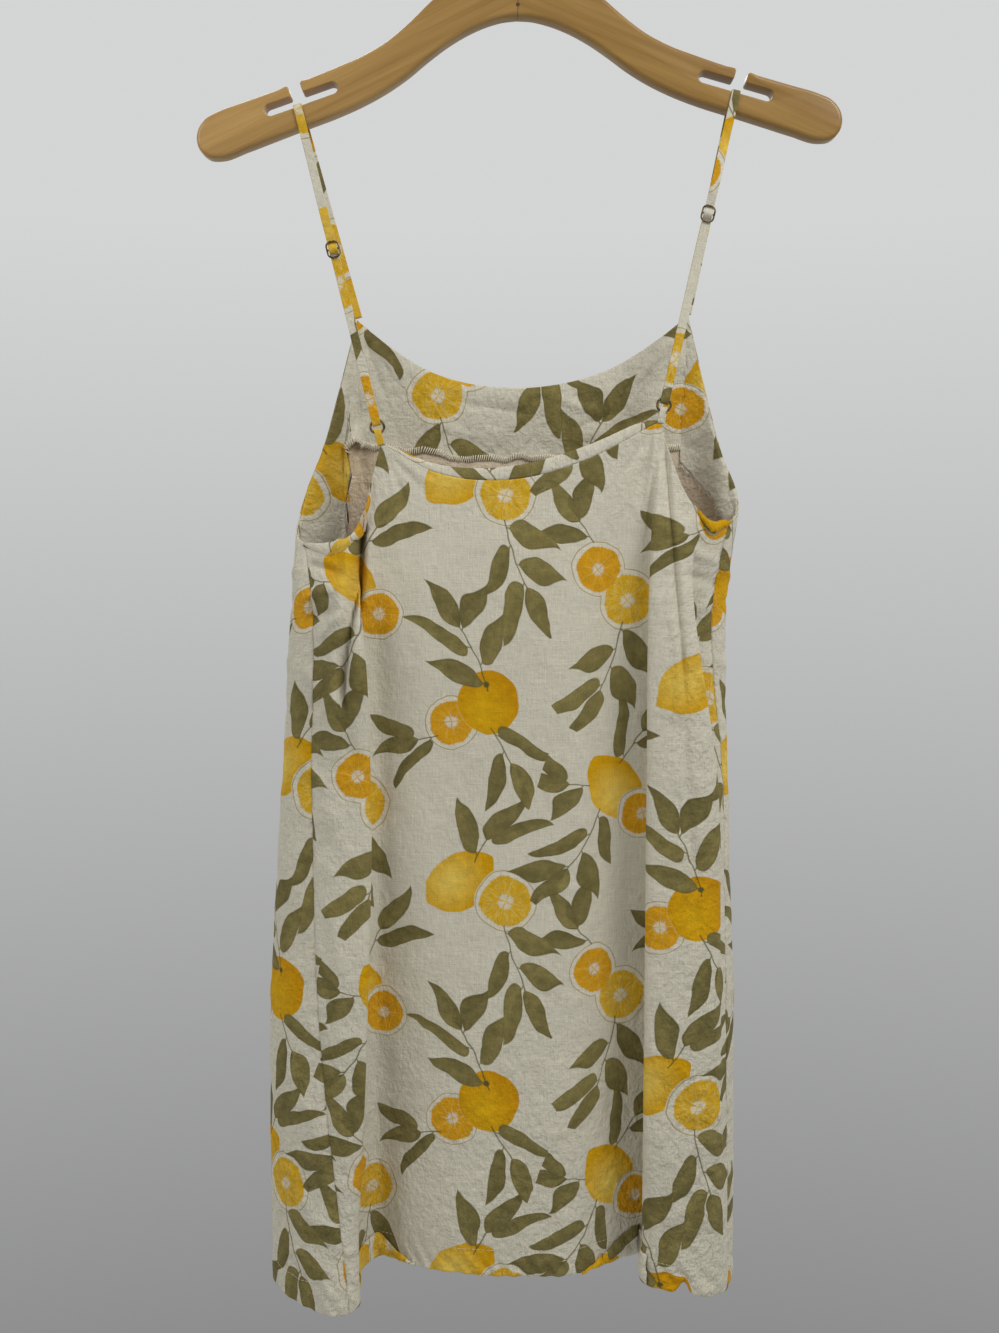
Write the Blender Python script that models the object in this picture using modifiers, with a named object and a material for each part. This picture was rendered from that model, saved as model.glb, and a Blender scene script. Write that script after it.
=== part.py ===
"""Sleeveless slip mini dress with thin straps, hung on a slotted wooden hanger.

Frame: +X to the right of the dress as seen from its back, the back of the dress faces -Y,
+Z is up. The origin is on the inside of the hook's crown, where a rail carries it.
Lengths in the tables below are millimetres; meshes are made in metres.
"""

import math

import bmesh
import bpy
import numpy as np
from mathutils import Matrix

MM = 0.001

# Driving sizes
CLOTH = 1.2
STRAP_CLOTH = 1.0
SEAM_GAP = 0.7
LAY_GAP = 0.3
FACING_GAP = 0.9
STRAP_WIDTH = 6.0
SEAT_LIFT = 0.8
LOOP_WIDTH = 5.0
HANGER_THICK = 14.0
HANGER_EDGE = 2.5
HANGER_TILT = math.radians(1.65)
WIRE = 3.6
RING_RADIUS = 4.7
RING_WIRE = 0.85
SLIDER_WIDE = 9.8
SLIDER_TALL = 12.0
SLIDER_THICK = 1.2

# Heights of the three fixed sections through the cloth, between its top edge and its hem
BUST_Z = -500.0
WAIST_Z = -640.0
HIP_Z = -800.0

# Rows of faces down each panel
BACK_ROWS = 19
FRONT_ROWS = 20
FACING_ROWS = 4

# One row for each fold line of the cloth, once round the dress: left seam, back, right seam, front.
# name, faces to the next line, corner of the top edge, facing depth,
# top x y z, bust x y, waist x y, hip x y, hem x y z
FOLD_COLUMNS = ("name", "faces", "corner", "facing",
                "top", "bust", "waist", "hip", "hem")
FOLDS = (
    ("seam_left", 3, False, 30, (-146, -9, -472), (-141, -22), (-140, -32), (-136, -42), (-114, -58, -1010)),
    ("flap_left", 3, False, 0, (-131, -16, -474), (-124, -34), (-119, -42), (-118, -50), (-108, -52, -1008)),
    ("crest_left", 3, False, 0, (-114, -24, -470), (-107, -38), (-98, -43), (-101, -50), (-112, -38, -1004)),
    ("under_left", 3, False, 0, (-103, -23, -452), (-108, -29), (-103, -33), (-107, -38), (-111, -22, -1000)),
    ("recess_left", 3, False, 0, (-97, -19, -426), (-97, -23), (-94, -23), (-97, -20), (-98, -7, -996)),
    ("corner_left", 4, True, 0, (-91, -18, -403), (-84, -25), (-82, -25), (-80, -23), (-78, -18, -996)),
    ("back_left", 4, False, 0, (-50, -21, -424), (-45, -28), (-42, -29), (-42, -31), (-38, -33, -995)),
    ("back_middle", 4, False, 0, (0, -23, -428), (0, -30), (0, -31), (0, -33), (0, -36, -995)),
    ("back_right", 4, False, 0, (50, -22, -415), (50, -27), (50, -29), (48, -30), (44, -34, -995)),
    ("valley_right", 3, False, 0, (82, -20, -399), (80, -19), (82, -15), (80, -13), (80, -14, -994)),
    ("under_right", 3, False, 0, (94, -18, -392), (98, -22), (104, -19), (106, -12), (110, -5, -993)),
    ("crest_right", 4, True, 0, (103, -18, -388), (95, -34), (94, -36), (94, -40), (94, -42, -997)),
    ("flap_right", 3, False, 0, (109, -21, -410), (110, -38), (118, -42), (118, -46), (120, -50, -1001)),
    ("edge_right", 3, False, 0, (116, -25, -448), (124, -33), (143, -34), (146, -38), (149, -42, -1005)),
    ("tuck_right", 3, False, 0, (136, -17, -467), (119, -24), (141, -26), (148, -31), (154, -34, -1007)),
    ("seam_right", 3, False, 30, (153, -9, -461), (143, -12), (150, -16), (153, -23), (157, -26, -1008)),
    ("side_right", 3, False, 34, (160, 0, -450), (154, 1), (155, -3), (161, -3), (163, -6, -1004)),
    ("arm_right", 4, False, 50, (147, 9, -400), (148, 14), (149, 14), (153, 15), (155, 15, -1002)),
    ("corner_right", 3, True, 94, (125, 12, -311), (118, 31), (117, 35), (115, 39), (113, 43, -1001)),
    ("pleat_right", 3, False, 77, (103, 13, -328), (103, 24), (102, 27), (104, 28), (104, 30, -1000)),
    ("front_right", 4, False, 58, (72, 14, -347), (82, 15), (78, 16), (76, 17), (76, 18, -999)),
    ("front_middle", 4, False, 50, (8, 16, -361), (8, 27), (6, 29), (2, 31), (-2, 33, -998)),
    ("front_left", 3, False, 58, (-60, 14, -349), (-70, 15), (-72, 16), (-74, 17), (-76, 17, -999)),
    ("pleat_left", 3, False, 75, (-90, 13, -330), (-90, 24), (-96, 27), (-99, 29), (-102, 31, -1001)),
    ("front_corner_left", 4, True, 88, (-110, 12, -314), (-104, 33), (-108, 36), (-112, 41), (-116, 45, -1003)),
    ("arm_left", 3, False, 50, (-133, 9, -399), (-139, 14), (-147, 14), (-156, 14), (-158, 14, -1005)),
    ("side_left", 3, False, 34, (-151, 4, -452), (-155, 0), (-164, -4), (-174, -6), (-175, -10, -1007)),
    ("wrap_left", 3, False, 30, (-152, -3, -466), (-152, -13), (-157, -22), (-162, -30), (-150, -43, -1013)),
)
BACK_FROM = "seam_left"
BACK_TO = "seam_right"

# Back facing: how far each of its rows is above the neckline (share of its rise),
# below it (mm) and behind it (mm), from the seam over the roll and down inside
ROLL_RISE = 9.5
ROLL_ROWS = (
    (0.0, -0.4, 0.0),
    (0.5, 0.0, 0.7),
    (0.9, 0.0, 1.6),
    (1.0, 0.2, 3.0),
    (0.8, 1.0, 4.1),
    (0.2, 8.0, 4.4),
    (0.0, 24.0, 4.6),
)

# Half outline of the hanger before it is tilted, right half, x and z
HANGER_TOP = (
    (0, -72), (10, -72.8), (20, -75.5), (30, -80), (42, -88), (58.8, -101.5), (75.4, -116.2),
    (89, -126.5), (104, -134.7), (124, -142.6), (152.5, -152.2), (188.2, -163.8), (206.7, -169.7),
)
HANGER_END = ((215.5, -174), (221, -180.5), (222.8, -188), (221, -195), (215.2, -200.2), (207.2, -200.9))
HANGER_UNDER = (
    (188.7, -195.3), (170.1, -189), (149, -181.8), (123.9, -173.4), (105.5, -165.9), (89.2, -157.6),
    (75.6, -149), (62, -138.7), (48.4, -129.3), (34.9, -121.8), (21.3, -116.3), (10, -113.4), (0, -112.5),
)
SLOT_MIDDLE = (149.5, -163.6)
SLOT_SLOPE = math.radians(17.3)
SLOT_LONG = 53.0
SLOT_HIGH = 8.0
SLOT_MOUTH = 8.5
SLOT_MOUTH_SHIFT = 1.5
SLOT_DEEP = 11.3

# Hook centre line, x and z, from its end in the wood to its tip
HOOK_STEM = ((0, -88), (0, -80), (0, -70), (0, -58), (1.2, -50), (6, -42.5), (13, -36.5), (18.4, -29))
HOOK_RADIUS = 20.8
CROWN_MIDDLE_Z = WIRE / 2 - HOOK_RADIUS
HOOK_TIP = math.radians(206)
HOOK_STEPS = 20
HOLE_DEPTH = 18.0

# Each strap: x of its seat on the slot, y and z of its slider, middle of its ring (x, y, z),
# its front end and its back corner
STRAPS = {
    "left": {
        "seat_x": -148.0,
        "slider": (-12.0, -270.0),
        "ring": (-93.5, -18.0, -391.5),
        "front": (-109.0, 10.6, -313.2),
        "back": (-91.0, -18.0, -402.6),
    },
    "right": {
        "seat_x": 154.0,
        "slider": (-12.0, -246.0),
        "ring": (105.0, -18.0, -376.5),
        "front": (124.0, 10.6, -310.2),
        "back": (103.0, -18.0, -387.6),
    },
}

# Colours, roughness and metallic value of each material
FINISHES = {
    "cloth": ((0.66, 0.61, 0.52), 0.9, 0.0),
    "wood": ((0.63, 0.39, 0.19), 0.38, 0.0),
    "steel": ((0.62, 0.62, 0.60), 0.28, 1.0),
    "old_brass": ((0.20, 0.15, 0.09), 0.42, 1.0),
}


def clear_scene():
    for thing in list(bpy.data.objects):
        bpy.data.objects.remove(thing, do_unlink=True)


def finish(name):
    """One Principled material, made once."""
    if name in bpy.data.materials:
        return bpy.data.materials[name]
    colour, rough, metal = FINISHES[name]
    mat = bpy.data.materials.new(name)
    mat.use_nodes = True
    shader = mat.node_tree.nodes["Principled BSDF"]
    shader.inputs["Base Color"].default_value = (*colour, 1.0)
    shader.inputs["Roughness"].default_value = rough
    shader.inputs["Metallic"].default_value = metal
    mat.diffuse_color = (*colour, 1.0)
    return mat


def add_object(name, mesh, material, collection):
    thing = bpy.data.objects.new(name, mesh)
    thing.data.materials.append(finish(material))
    collection.objects.link(thing)
    return thing


def unit(vectors):
    return vectors / np.linalg.norm(vectors, axis=-1, keepdims=True)


def slopes(points, knots, closed):
    """Slope at each knot: the parabola through the knot and its two neighbours."""
    steps = np.diff(knots)
    chords = np.diff(points, axis=0) / steps[:, None]
    middle = (chords[:-1] * steps[1:, None] + chords[1:] * steps[:-1, None]) / (steps[:-1] + steps[1:])[:, None]
    if closed:
        first = (chords[-1] * steps[0] + chords[0] * steps[-1]) / (steps[0] + steps[-1])
        return np.vstack([first, middle, first])
    return np.vstack([chords[0], middle, chords[-1]])


def hermite(start, end, slope_start, slope_end, length, t):
    """Cubic between two points with given slopes; t runs from 0 to 1."""
    t2 = t * t
    t3 = t2 * t
    return ((2 * t3 - 3 * t2 + 1) * start + (t3 - 2 * t2 + t) * length * slope_start
            + (3 * t2 - 2 * t3) * end + (t3 - t2) * length * slope_end)


def ring_spline(points, faces, corners):
    """Closed smooth curve through the points, with `faces` steps in each span.

    A corner takes the direction of the chord on each side of it instead of a shared slope.
    """
    loop = np.vstack([points, points[:1]])
    spans = np.linalg.norm(np.diff(loop, axis=0), axis=1)
    knots = np.concatenate([[0.0], np.cumsum(spans)])
    leave = slopes(loop, knots, closed=True)
    arrive = leave.copy()
    chords = np.diff(loop, axis=0) / spans[:, None]
    for i in np.flatnonzero(corners):
        leave[i] = chords[i]
        arrive[i] = chords[i - 1]
    out = []
    for i, count in enumerate(faces):
        t = (np.arange(count) / count)[:, None]
        out.append(hermite(loop[i], loop[i + 1], leave[i], arrive[i + 1], spans[i], t))
    return np.vstack(out)


def column(name):
    return [row[FOLD_COLUMNS.index(name)] for row in FOLDS]


def cloth_columns():
    """Each vertical line of the cloth: its top, bust, waist, hip and hem points, and its facing depth."""
    faces = column("faces")
    corners = np.array(column("corner"))
    none = np.zeros(len(FOLDS), bool)
    lines = [ring_spline(np.array(column("top"), float), faces, corners)]
    for level, height in (("bust", BUST_Z), ("waist", WAIST_Z), ("hip", HIP_Z)):
        flat = np.array([(x, y, height) for x, y in column(level)], float)
        lines.append(ring_spline(flat, faces, none))
    lines.append(ring_spline(np.array(column("hem"), float), faces, none))
    position = np.arange(len(FOLDS) + 1)
    depth = np.array(column("facing") + column("facing")[:1], float)
    at = np.concatenate([i + np.arange(count) / count for i, count in enumerate(faces)])
    return np.stack(lines, axis=1), np.interp(at, position, depth)


def down_the_line(lines, z):
    """Points at heights z (columns, rows) on vertical lines given by five points each."""
    columns, rows = z.shape
    out = np.empty((columns, rows, 3))
    for c in range(columns):
        knots = -lines[c, :, 2]
        tangent = slopes(lines[c], knots, closed=False)
        span = np.clip(np.searchsorted(knots, -z[c], side="right") - 1, 0, len(knots) - 2)
        length = (knots[span + 1] - knots[span])[:, None]
        t = (-z[c][:, None] - knots[span][:, None]) / length
        out[c] = hermite(lines[c][span], lines[c][span + 1], tangent[span], tangent[span + 1], length, t)
    out[:, :, 2] = z
    return out


def panel_lines(start, stop):
    """The vertical lines from one seam round to the other, both ends pulled back by half the seam gap."""
    lines, depth = cloth_columns()
    faces = column("faces")
    names = column("name")
    first = sum(faces[:names.index(start)])
    last = sum(faces[:names.index(stop)])
    total = len(lines)
    if last <= first:
        last += total
    pick = np.arange(first, last + 1) % total
    lines = lines[pick].copy()
    for end, inner in ((0, 1), (-1, -2)):
        lines[end] += unit(lines[inner] - lines[end]) * SEAM_GAP / 2
    return lines, depth[pick]


def panel_grid(lines, rows):
    """Points of a panel, closer together at the top, where the folds start."""
    share = np.linspace(0, 1, rows + 1) ** 1.25
    z = lines[:, :1, 2] + share[None, :] * (lines[:, -1:, 2] - lines[:, :1, 2])
    return down_the_line(lines, z)


def grid_mesh(name, grid, flip):
    """A sheet of four-sided faces over a grid of points (columns, rows), in millimetres."""
    columns, rows = grid.shape[:2]
    index = np.arange(columns * rows).reshape(columns, rows)
    quads = np.stack([index[:-1, :-1], index[1:, :-1], index[1:, 1:], index[:-1, 1:]], axis=-1).reshape(-1, 4)
    if flip:
        quads = quads[:, ::-1]
    mesh = bpy.data.meshes.new(name)
    mesh.from_pydata((grid.reshape(-1, 3) * MM).tolist(), [], quads.tolist())
    mesh.update()
    return mesh


def cloth_sheet(name, grid, collection, flip=False, thickness=CLOTH):
    """A wall of cloth centred on the sheet."""
    thing = add_object(name, grid_mesh(name, grid, flip), "cloth", collection)
    wall = thing.modifiers.new("wall", "SOLIDIFY")
    wall.thickness = thickness * MM
    wall.offset = 0.0
    wall.use_even_offset = True
    thing.data.shade_smooth()
    return thing


def inward(grid):
    """Unit normals of a grid that runs clockwise seen from above, pointing into the dress."""
    across = np.gradient(grid, axis=0)
    down = np.gradient(grid, axis=1)
    return unit(np.cross(across, down))


def make_panels(collection):
    back_lines, _ = panel_lines(BACK_FROM, BACK_TO)
    front_lines, facing = panel_lines(BACK_TO, BACK_FROM)
    cloth_sheet("back_panel", panel_grid(back_lines, BACK_ROWS), collection)
    cloth_sheet("front_panel", panel_grid(front_lines, FRONT_ROWS), collection)
    return back_lines, front_lines, facing


def make_front_facing(lines, depth, collection):
    """The panel's own points from its top edge down to the facing's depth, moved inwards."""
    lines, depth = lines[3:-3], depth[3:-3]
    share = np.linspace(0, 1, FACING_ROWS + 1)
    z = lines[:, :1, 2] - share[None, :] * depth[:, None]
    grid = down_the_line(lines, z)
    side = inward(grid)
    grid = grid + side * (CLOTH + FACING_GAP)
    cloth_sheet("front_facing", grid, collection)


def make_back_facing(lines, collection):
    """From the neck seam up over a soft roll and down inside, highest in the middle."""
    names = column("name")
    faces = column("faces")
    first = sum(faces[:names.index("corner_left")])
    last = sum(faces[:names.index("crest_right")])
    edge = lines[first:last + 1, 0]
    along = np.linspace(0, 1, len(edge))
    rise = ROLL_RISE * np.sin(np.pi * along) ** 0.8
    rows = []
    for share, below, behind in ROLL_ROWS:
        row = edge.copy()
        row[:, 2] += share * rise - below + CLOTH / 2 + LAY_GAP
        row[:, 1] += behind
        rows.append(row)
    grid = np.stack(rows, axis=1)[1:-1]
    cloth_sheet("back_facing", grid, collection, thickness=STRAP_CLOTH)


def smooth_path(points, step):
    """Points about `step` apart on a smooth open curve through the given ones."""
    points = np.array(points, float)
    spans = np.linalg.norm(np.diff(points, axis=0), axis=1)
    knots = np.concatenate([[0.0], np.cumsum(spans)])
    tangent = slopes(points, knots, closed=False)
    out = [points[:1]]
    for i, span in enumerate(spans):
        count = max(1, math.ceil(span / step))
        t = (np.arange(1, count + 1) / count)[:, None]
        out.append(hermite(points[i], points[i + 1], tangent[i], tangent[i + 1], span, t))
    return np.vstack(out)


def band(name, path, width_line, width, thickness, collection):
    """A flat band along a path: its width lies along width_line, square to the path."""
    tangent = unit(np.gradient(path, axis=0))
    wide = np.broadcast_to(width_line, path.shape)
    wide = unit(wide - tangent * np.sum(wide * tangent, axis=1, keepdims=True))
    grid = np.stack([path - wide * width / 2, path + wide * width / 2], axis=1)
    return cloth_sheet(name, grid, collection, thickness=thickness)


def strap_line(place):
    """Width direction of a strap: square to its run from the seat to the ring, in the XZ plane."""
    run = np.array([place["ring"][0] - place["seat_x"], 0.0, place["ring"][2] - seat_height(place["seat_x"])])
    run /= np.linalg.norm(run)
    across = np.array([-run[2], 0.0, run[0]])
    return across * math.copysign(1.0, across[0])


def tilted(x, z):
    """Turn a point about the middle of the hook's crown, left end down."""
    cos, sin = math.cos(HANGER_TILT), math.sin(HANGER_TILT)
    up = z - CROWN_MIDDLE_Z
    return x * cos - up * sin, CROWN_MIDDLE_Z + x * sin + up * cos


def seat_height(x):
    """Height of the slot's lower edge at x, after the hanger's tilt."""
    side = math.copysign(1.0, x)
    slope = SLOT_SLOPE - side * HANGER_TILT
    middle_x, middle_z = tilted(side * SLOT_MIDDLE[0], SLOT_MIDDLE[1])
    return middle_z - abs(x - middle_x) * math.copysign(math.tan(slope), abs(x) - abs(middle_x)) \
        - SLOT_HIGH / 2 / math.cos(slope)


def on_line(a, b, z):
    """x at height z on the straight line between two (x, z) points."""
    return a[0] + (b[0] - a[0]) * (z - a[1]) / (b[1] - a[1])


def strap_points(place):
    """The strap's centre line: front end, up behind the arm, through the slot, slider, ring and back up."""
    half = STRAP_CLOTH / 2
    face = HANGER_THICK / 2 + LAY_GAP + half
    seat_z = seat_height(place["seat_x"]) + LAY_GAP + half + SEAT_LIFT
    seat = (place["seat_x"], seat_z)
    slider_y, slider_z = place["slider"]
    ring_x, ring_y, ring_z = place["ring"]
    front_x, front_y, front_z = place["front"]
    ring = (ring_x, ring_z)
    over = SLIDER_THICK / 2 + LAY_GAP + half
    round_wire = RING_WIRE + LAY_GAP + half
    turn = ring_z + 1.5

    def behind(z, y):
        return (on_line(seat, (front_x, front_z), z), y, z)

    def before(z, y):
        return (on_line(seat, ring, z), y, z)

    points = [(front_x, front_y, front_z), behind(front_z + 12, front_y - 0.4), behind(seat_z - 60, face + 0.5),
              behind(seat_z - 26, face + 0.2), behind(seat_z - 8, face), behind(seat_z - 2.5, face - 0.2),
              (seat[0], face - 2.4, seat_z), (seat[0], 0.0, seat_z), (seat[0], 2.4 - face, seat_z),
              before(seat_z - 2.5, 0.2 - face), before(seat_z - 8, -face), before(seat_z - 26, -face - 0.2)]
    weave = ((16.0, 0.2), (7.0, over), (4.2, over), (3.1, over * 0.55), (1.8, -over * 0.55), (0.8, -over),
             (-0.8, -over), (-1.8, -over * 0.55), (-3.1, over * 0.55), (-4.2, over), (-7.0, over))
    points += [before(slider_z + up, slider_y + out) for up, out in weave]
    points += [before(ring_z + 20, ring_y - round_wire + 0.9), before(turn + 4, ring_y - round_wire),
               before(turn + 0.9, ring_y - round_wire * 0.9), before(turn - 0.6, ring_y),
               before(turn + 0.9, ring_y + round_wire * 0.9), before(turn + 4, ring_y + round_wire),
               before(ring_z + 20, ring_y + round_wire - 0.2)]
    back = over + STRAP_CLOTH + LAY_GAP + 0.3
    points += [before(slider_z - 14, slider_y + back + 0.2), before(slider_z - 6, slider_y + back),
               before(slider_z - 2.4, slider_y + back - 0.7), before(slider_z + 0.8, slider_y + over + 0.4)]
    return points


def make_strap(side, place, collection):
    path = smooth_path(strap_points(place), 6.0)
    band("strap_" + side, path, strap_line(place), STRAP_WIDTH, STRAP_CLOTH, collection)


def make_ring_loop(side, place, collection):
    """Fabric loop from the back corner round the lower side of the ring."""
    x, y, z = place["ring"]
    end_x, end_y, end_z = place["back"]
    round_wire = RING_WIRE + LAY_GAP + STRAP_CLOTH / 2
    top = z - 1.9
    low = end_z + CLOTH / 2 + LAY_GAP
    legs = ((low, 0.85), (low + 2.0, 1.15), (top - 1.6, round_wire * 0.92), (top - 0.5, round_wire * 0.6))
    points = [(on_line((end_x, low), (x, top), h), y - out, h) for h, out in legs]
    points.append((x, y, top))
    points += [(on_line((end_x, low), (x, top), h), y + out, h) for h, out in reversed(legs)]
    path = smooth_path(points, 1.2)
    band("ring_loop_" + side, path, np.array([1.0, 0.0, 0.0]), LOOP_WIDTH, STRAP_CLOTH, collection)


def make_ring(side, place, collection):
    x, y, z = place["ring"]
    bpy.ops.mesh.primitive_torus_add(
        location=(x * MM, y * MM, z * MM), rotation=(math.pi / 2, 0.0, 0.0),
        major_radius=RING_RADIUS * MM, minor_radius=RING_WIRE * MM, major_segments=24, minor_segments=8)
    ring = bpy.context.object
    ring.name = "ring_" + side
    ring.data.materials.append(finish("old_brass"))
    ring.data.shade_smooth()
    move_to(ring, collection)


def move_to(thing, collection):
    for other in list(thing.users_collection):
        other.objects.unlink(thing)
    collection.objects.link(thing)


def rounded_box(wide, tall, radius, steps):
    """Corner-rounded rectangle about the origin, as (x, z) points, anticlockwise."""
    points = []
    for corner in range(4):
        sx = (1, -1, -1, 1)[corner]
        sz = (1, 1, -1, -1)[corner]
        for k in range(steps + 1):
            angle = math.pi / 2 * (corner + k / steps)
            points.append((sx * (wide / 2 - radius) + radius * math.cos(angle),
                           sz * (tall / 2 - radius) + radius * math.sin(angle)))
    return points


def plate(name, outline, thickness, y=0.0):
    """Closed plate: the outline in XZ, raised along Y, centred on y."""
    work = bmesh.new()
    front = [work.verts.new((x * MM, (y - thickness / 2) * MM, z * MM)) for x, z in outline]
    face = work.faces.new(front)
    raised = bmesh.ops.extrude_face_region(work, geom=[face])
    moved = [item for item in raised["geom"] if isinstance(item, bmesh.types.BMVert)]
    bmesh.ops.translate(work, verts=moved, vec=(0.0, thickness * MM, 0.0))
    bmesh.ops.recalc_face_normals(work, faces=work.faces)
    mesh = bpy.data.meshes.new(name)
    work.to_mesh(mesh)
    work.free()
    return mesh


def cut(thing, cutter, name):
    step = thing.modifiers.new(name, "BOOLEAN")
    step.operation = "DIFFERENCE"
    step.solver = "EXACT"
    step.object = cutter
    cutter.hide_render = True
    cutter.display_type = "WIRE"


def slider_x(place):
    """The slider lies on the straight run from the strap's seat to its ring."""
    seat_z = seat_height(place["seat_x"]) + LAY_GAP + STRAP_CLOTH / 2 + SEAT_LIFT
    ring_x, _, ring_z = place["ring"]
    return on_line((place["seat_x"], seat_z), (ring_x, ring_z), place["slider"][1])


def make_slider(side, place, collection, cutters):
    """Flat slide with a window above and below its middle bar, set square to the strap."""
    bar = 1.2
    window = (SLIDER_TALL - 3 * bar) / 2
    lean = strap_line(place)
    turn = Matrix.Rotation(-math.atan2(lean[2], lean[0]), 4, "Y")
    y, z = place["slider"]
    spot = Matrix.Translation((slider_x(place) * MM, y * MM, z * MM)) @ turn
    body = add_object("slider_" + side, plate("slider_" + side, rounded_box(SLIDER_WIDE, SLIDER_TALL, 2.2, 4),
                                              SLIDER_THICK), "old_brass", collection)
    body.matrix_world = spot
    for sign in (1, -1):
        hole = rounded_box(SLIDER_WIDE - 2 * bar, window, 1.0, 3)
        hole = [(x, z + sign * (window + bar) / 2) for x, z in hole]
        name = "slider_window_%s_%s" % (side, "upper" if sign > 0 else "lower")
        cutter = bpy.data.objects.new(name, plate(name, hole, SLIDER_THICK * 3))
        cutters.objects.link(cutter)
        cutter.matrix_world = spot
        cut(body, cutter, name)


def slot_outline():
    """Points of the right T-slot, from its mouth's outer edge round the slot to its inner edge."""
    along = np.array([math.cos(SLOT_SLOPE), -math.sin(SLOT_SLOPE)])
    up = np.array([math.sin(SLOT_SLOPE), math.cos(SLOT_SLOPE)])
    middle = np.array(SLOT_MIDDLE)
    radius = SLOT_HIGH / 2
    reach = SLOT_LONG / 2 - radius
    mouth = SLOT_MOUTH / 2
    points = [middle + along * (SLOT_MOUTH_SHIFT - mouth) + up * h for h in (SLOT_DEEP, radius)]
    for centre, first in ((-reach, 90), (reach, 270)):
        for k in range(9):
            angle = math.radians(first + 180 * k / 8)
            points.append(middle + along * (centre + radius * math.cos(angle)) + up * radius * math.sin(angle))
    points += [middle + along * (SLOT_MOUTH_SHIFT + mouth) + up * h for h in (radius, SLOT_DEEP)]
    return [tuple(point) for point in points]


def hanger_outline():
    """Whole outline: the right half with its slot, then its mirror image."""
    middle_x = SLOT_MIDDLE[0]
    inner = [point for point in HANGER_TOP if point[0] < middle_x - 4]
    outer = [point for point in HANGER_TOP if point[0] > middle_x + 12]
    half = inner + slot_outline() + outer + list(HANGER_END) + list(HANGER_UNDER)
    mirrored = [(-x, z) for x, z in reversed(half) if x > 0.01]
    return half + mirrored


def make_hanger(collection, cutters):
    outline = [tilted(x, z) for x, z in hanger_outline()]
    body = add_object("hanger_body", plate("hanger_body", outline, HANGER_THICK), "wood", collection)
    edge = body.modifiers.new("rounded_edges", "BEVEL")
    edge.width = HANGER_EDGE * MM
    edge.segments = 2
    edge.limit_method = "ANGLE"
    edge.angle_limit = math.radians(50)
    bpy.ops.mesh.primitive_cylinder_add(vertices=16, radius=(WIRE / 2 + LAY_GAP) * MM, depth=2 * HOLE_DEPTH * MM,
                                        location=(0.0, 0.0, HANGER_TOP[0][1] * MM))
    hole = bpy.context.object
    hole.name = "hook_hole"
    pivot = Matrix.Translation((0.0, 0.0, CROWN_MIDDLE_Z * MM))
    hole.matrix_world = pivot @ Matrix.Rotation(-HANGER_TILT, 4, "Y") @ pivot.inverted() @ hole.matrix_world
    move_to(hole, cutters)
    cut(body, hole, "hook_hole")


def make_hook(collection):
    """Steel wire: stem out of the wood, a soft bend to the right, then an arc over the crown."""
    points = list(HOOK_STEM)
    for k in range(HOOK_STEPS + 1):
        angle = HOOK_TIP * k / HOOK_STEPS
        points.append((HOOK_RADIUS * math.cos(angle), CROWN_MIDDLE_Z + HOOK_RADIUS * math.sin(angle)))
    turned = [tilted(x, z) for x, z in points]
    points = [(x, 0.0, z) for x, z in turned]
    curve = bpy.data.curves.new("hanger_hook", "CURVE")
    curve.dimensions = "3D"
    curve.bevel_depth = WIRE / 2 * MM
    curve.bevel_resolution = 2
    curve.use_fill_caps = True
    path = smooth_path(points, 5.0)
    spline = curve.splines.new("POLY")
    spline.points.add(len(path) - 1)
    for point, (x, y, z) in zip(spline.points, path):
        point.co = (x * MM, y * MM, z * MM, 1.0)
    hook = bpy.data.objects.new("hanger_hook", curve)
    hook.data.materials.append(finish("steel"))
    collection.objects.link(hook)


def main():
    clear_scene()
    collection = bpy.data.collections.new("mini_dress_on_hanger")
    cutters = bpy.data.collections.new("cutters")
    bpy.context.scene.collection.children.link(collection)
    bpy.context.scene.collection.children.link(cutters)
    make_hanger(collection, cutters)
    make_hook(collection)
    back_lines, front_lines, facing = make_panels(collection)
    make_front_facing(front_lines, facing, collection)
    make_back_facing(back_lines, collection)
    for side, place in STRAPS.items():
        make_strap(side, place, collection)
        make_ring_loop(side, place, collection)
        make_ring(side, place, collection)
        make_slider(side, place, collection, cutters)


main()
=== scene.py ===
"""Looks of the slip mini dress on its slotted wooden hanger.

Frame: +X to the right of the dress as seen from its back, the back faces -Y, +Z is up.
The tables hold millimetres; meshes are made in metres.
"""

import math

import bpy
import numpy as np
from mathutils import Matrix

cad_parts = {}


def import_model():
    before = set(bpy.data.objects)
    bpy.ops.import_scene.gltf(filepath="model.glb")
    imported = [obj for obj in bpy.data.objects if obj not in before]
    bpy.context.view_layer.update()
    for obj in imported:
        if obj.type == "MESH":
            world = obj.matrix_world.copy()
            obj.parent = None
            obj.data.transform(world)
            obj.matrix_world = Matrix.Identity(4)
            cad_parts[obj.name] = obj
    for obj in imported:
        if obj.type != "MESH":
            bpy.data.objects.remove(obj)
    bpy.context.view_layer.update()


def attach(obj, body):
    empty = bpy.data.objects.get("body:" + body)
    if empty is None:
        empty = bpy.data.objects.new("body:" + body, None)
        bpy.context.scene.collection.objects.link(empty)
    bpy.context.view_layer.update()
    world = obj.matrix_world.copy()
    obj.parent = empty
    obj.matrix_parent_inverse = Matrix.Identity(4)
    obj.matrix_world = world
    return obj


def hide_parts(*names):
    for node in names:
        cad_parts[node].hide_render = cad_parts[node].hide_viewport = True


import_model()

bl_info = {
    "name": "Slip dress on hanger",
    "version": (1, 0, 0),
    "blender": (4, 5, 0),
    "location": "View3D > Sidebar > Slip dress",
    "description": "Builds a printed slip mini dress hung on a slotted wooden hanger",
    "category": "Add Mesh",
}

MM = 0.001

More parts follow.
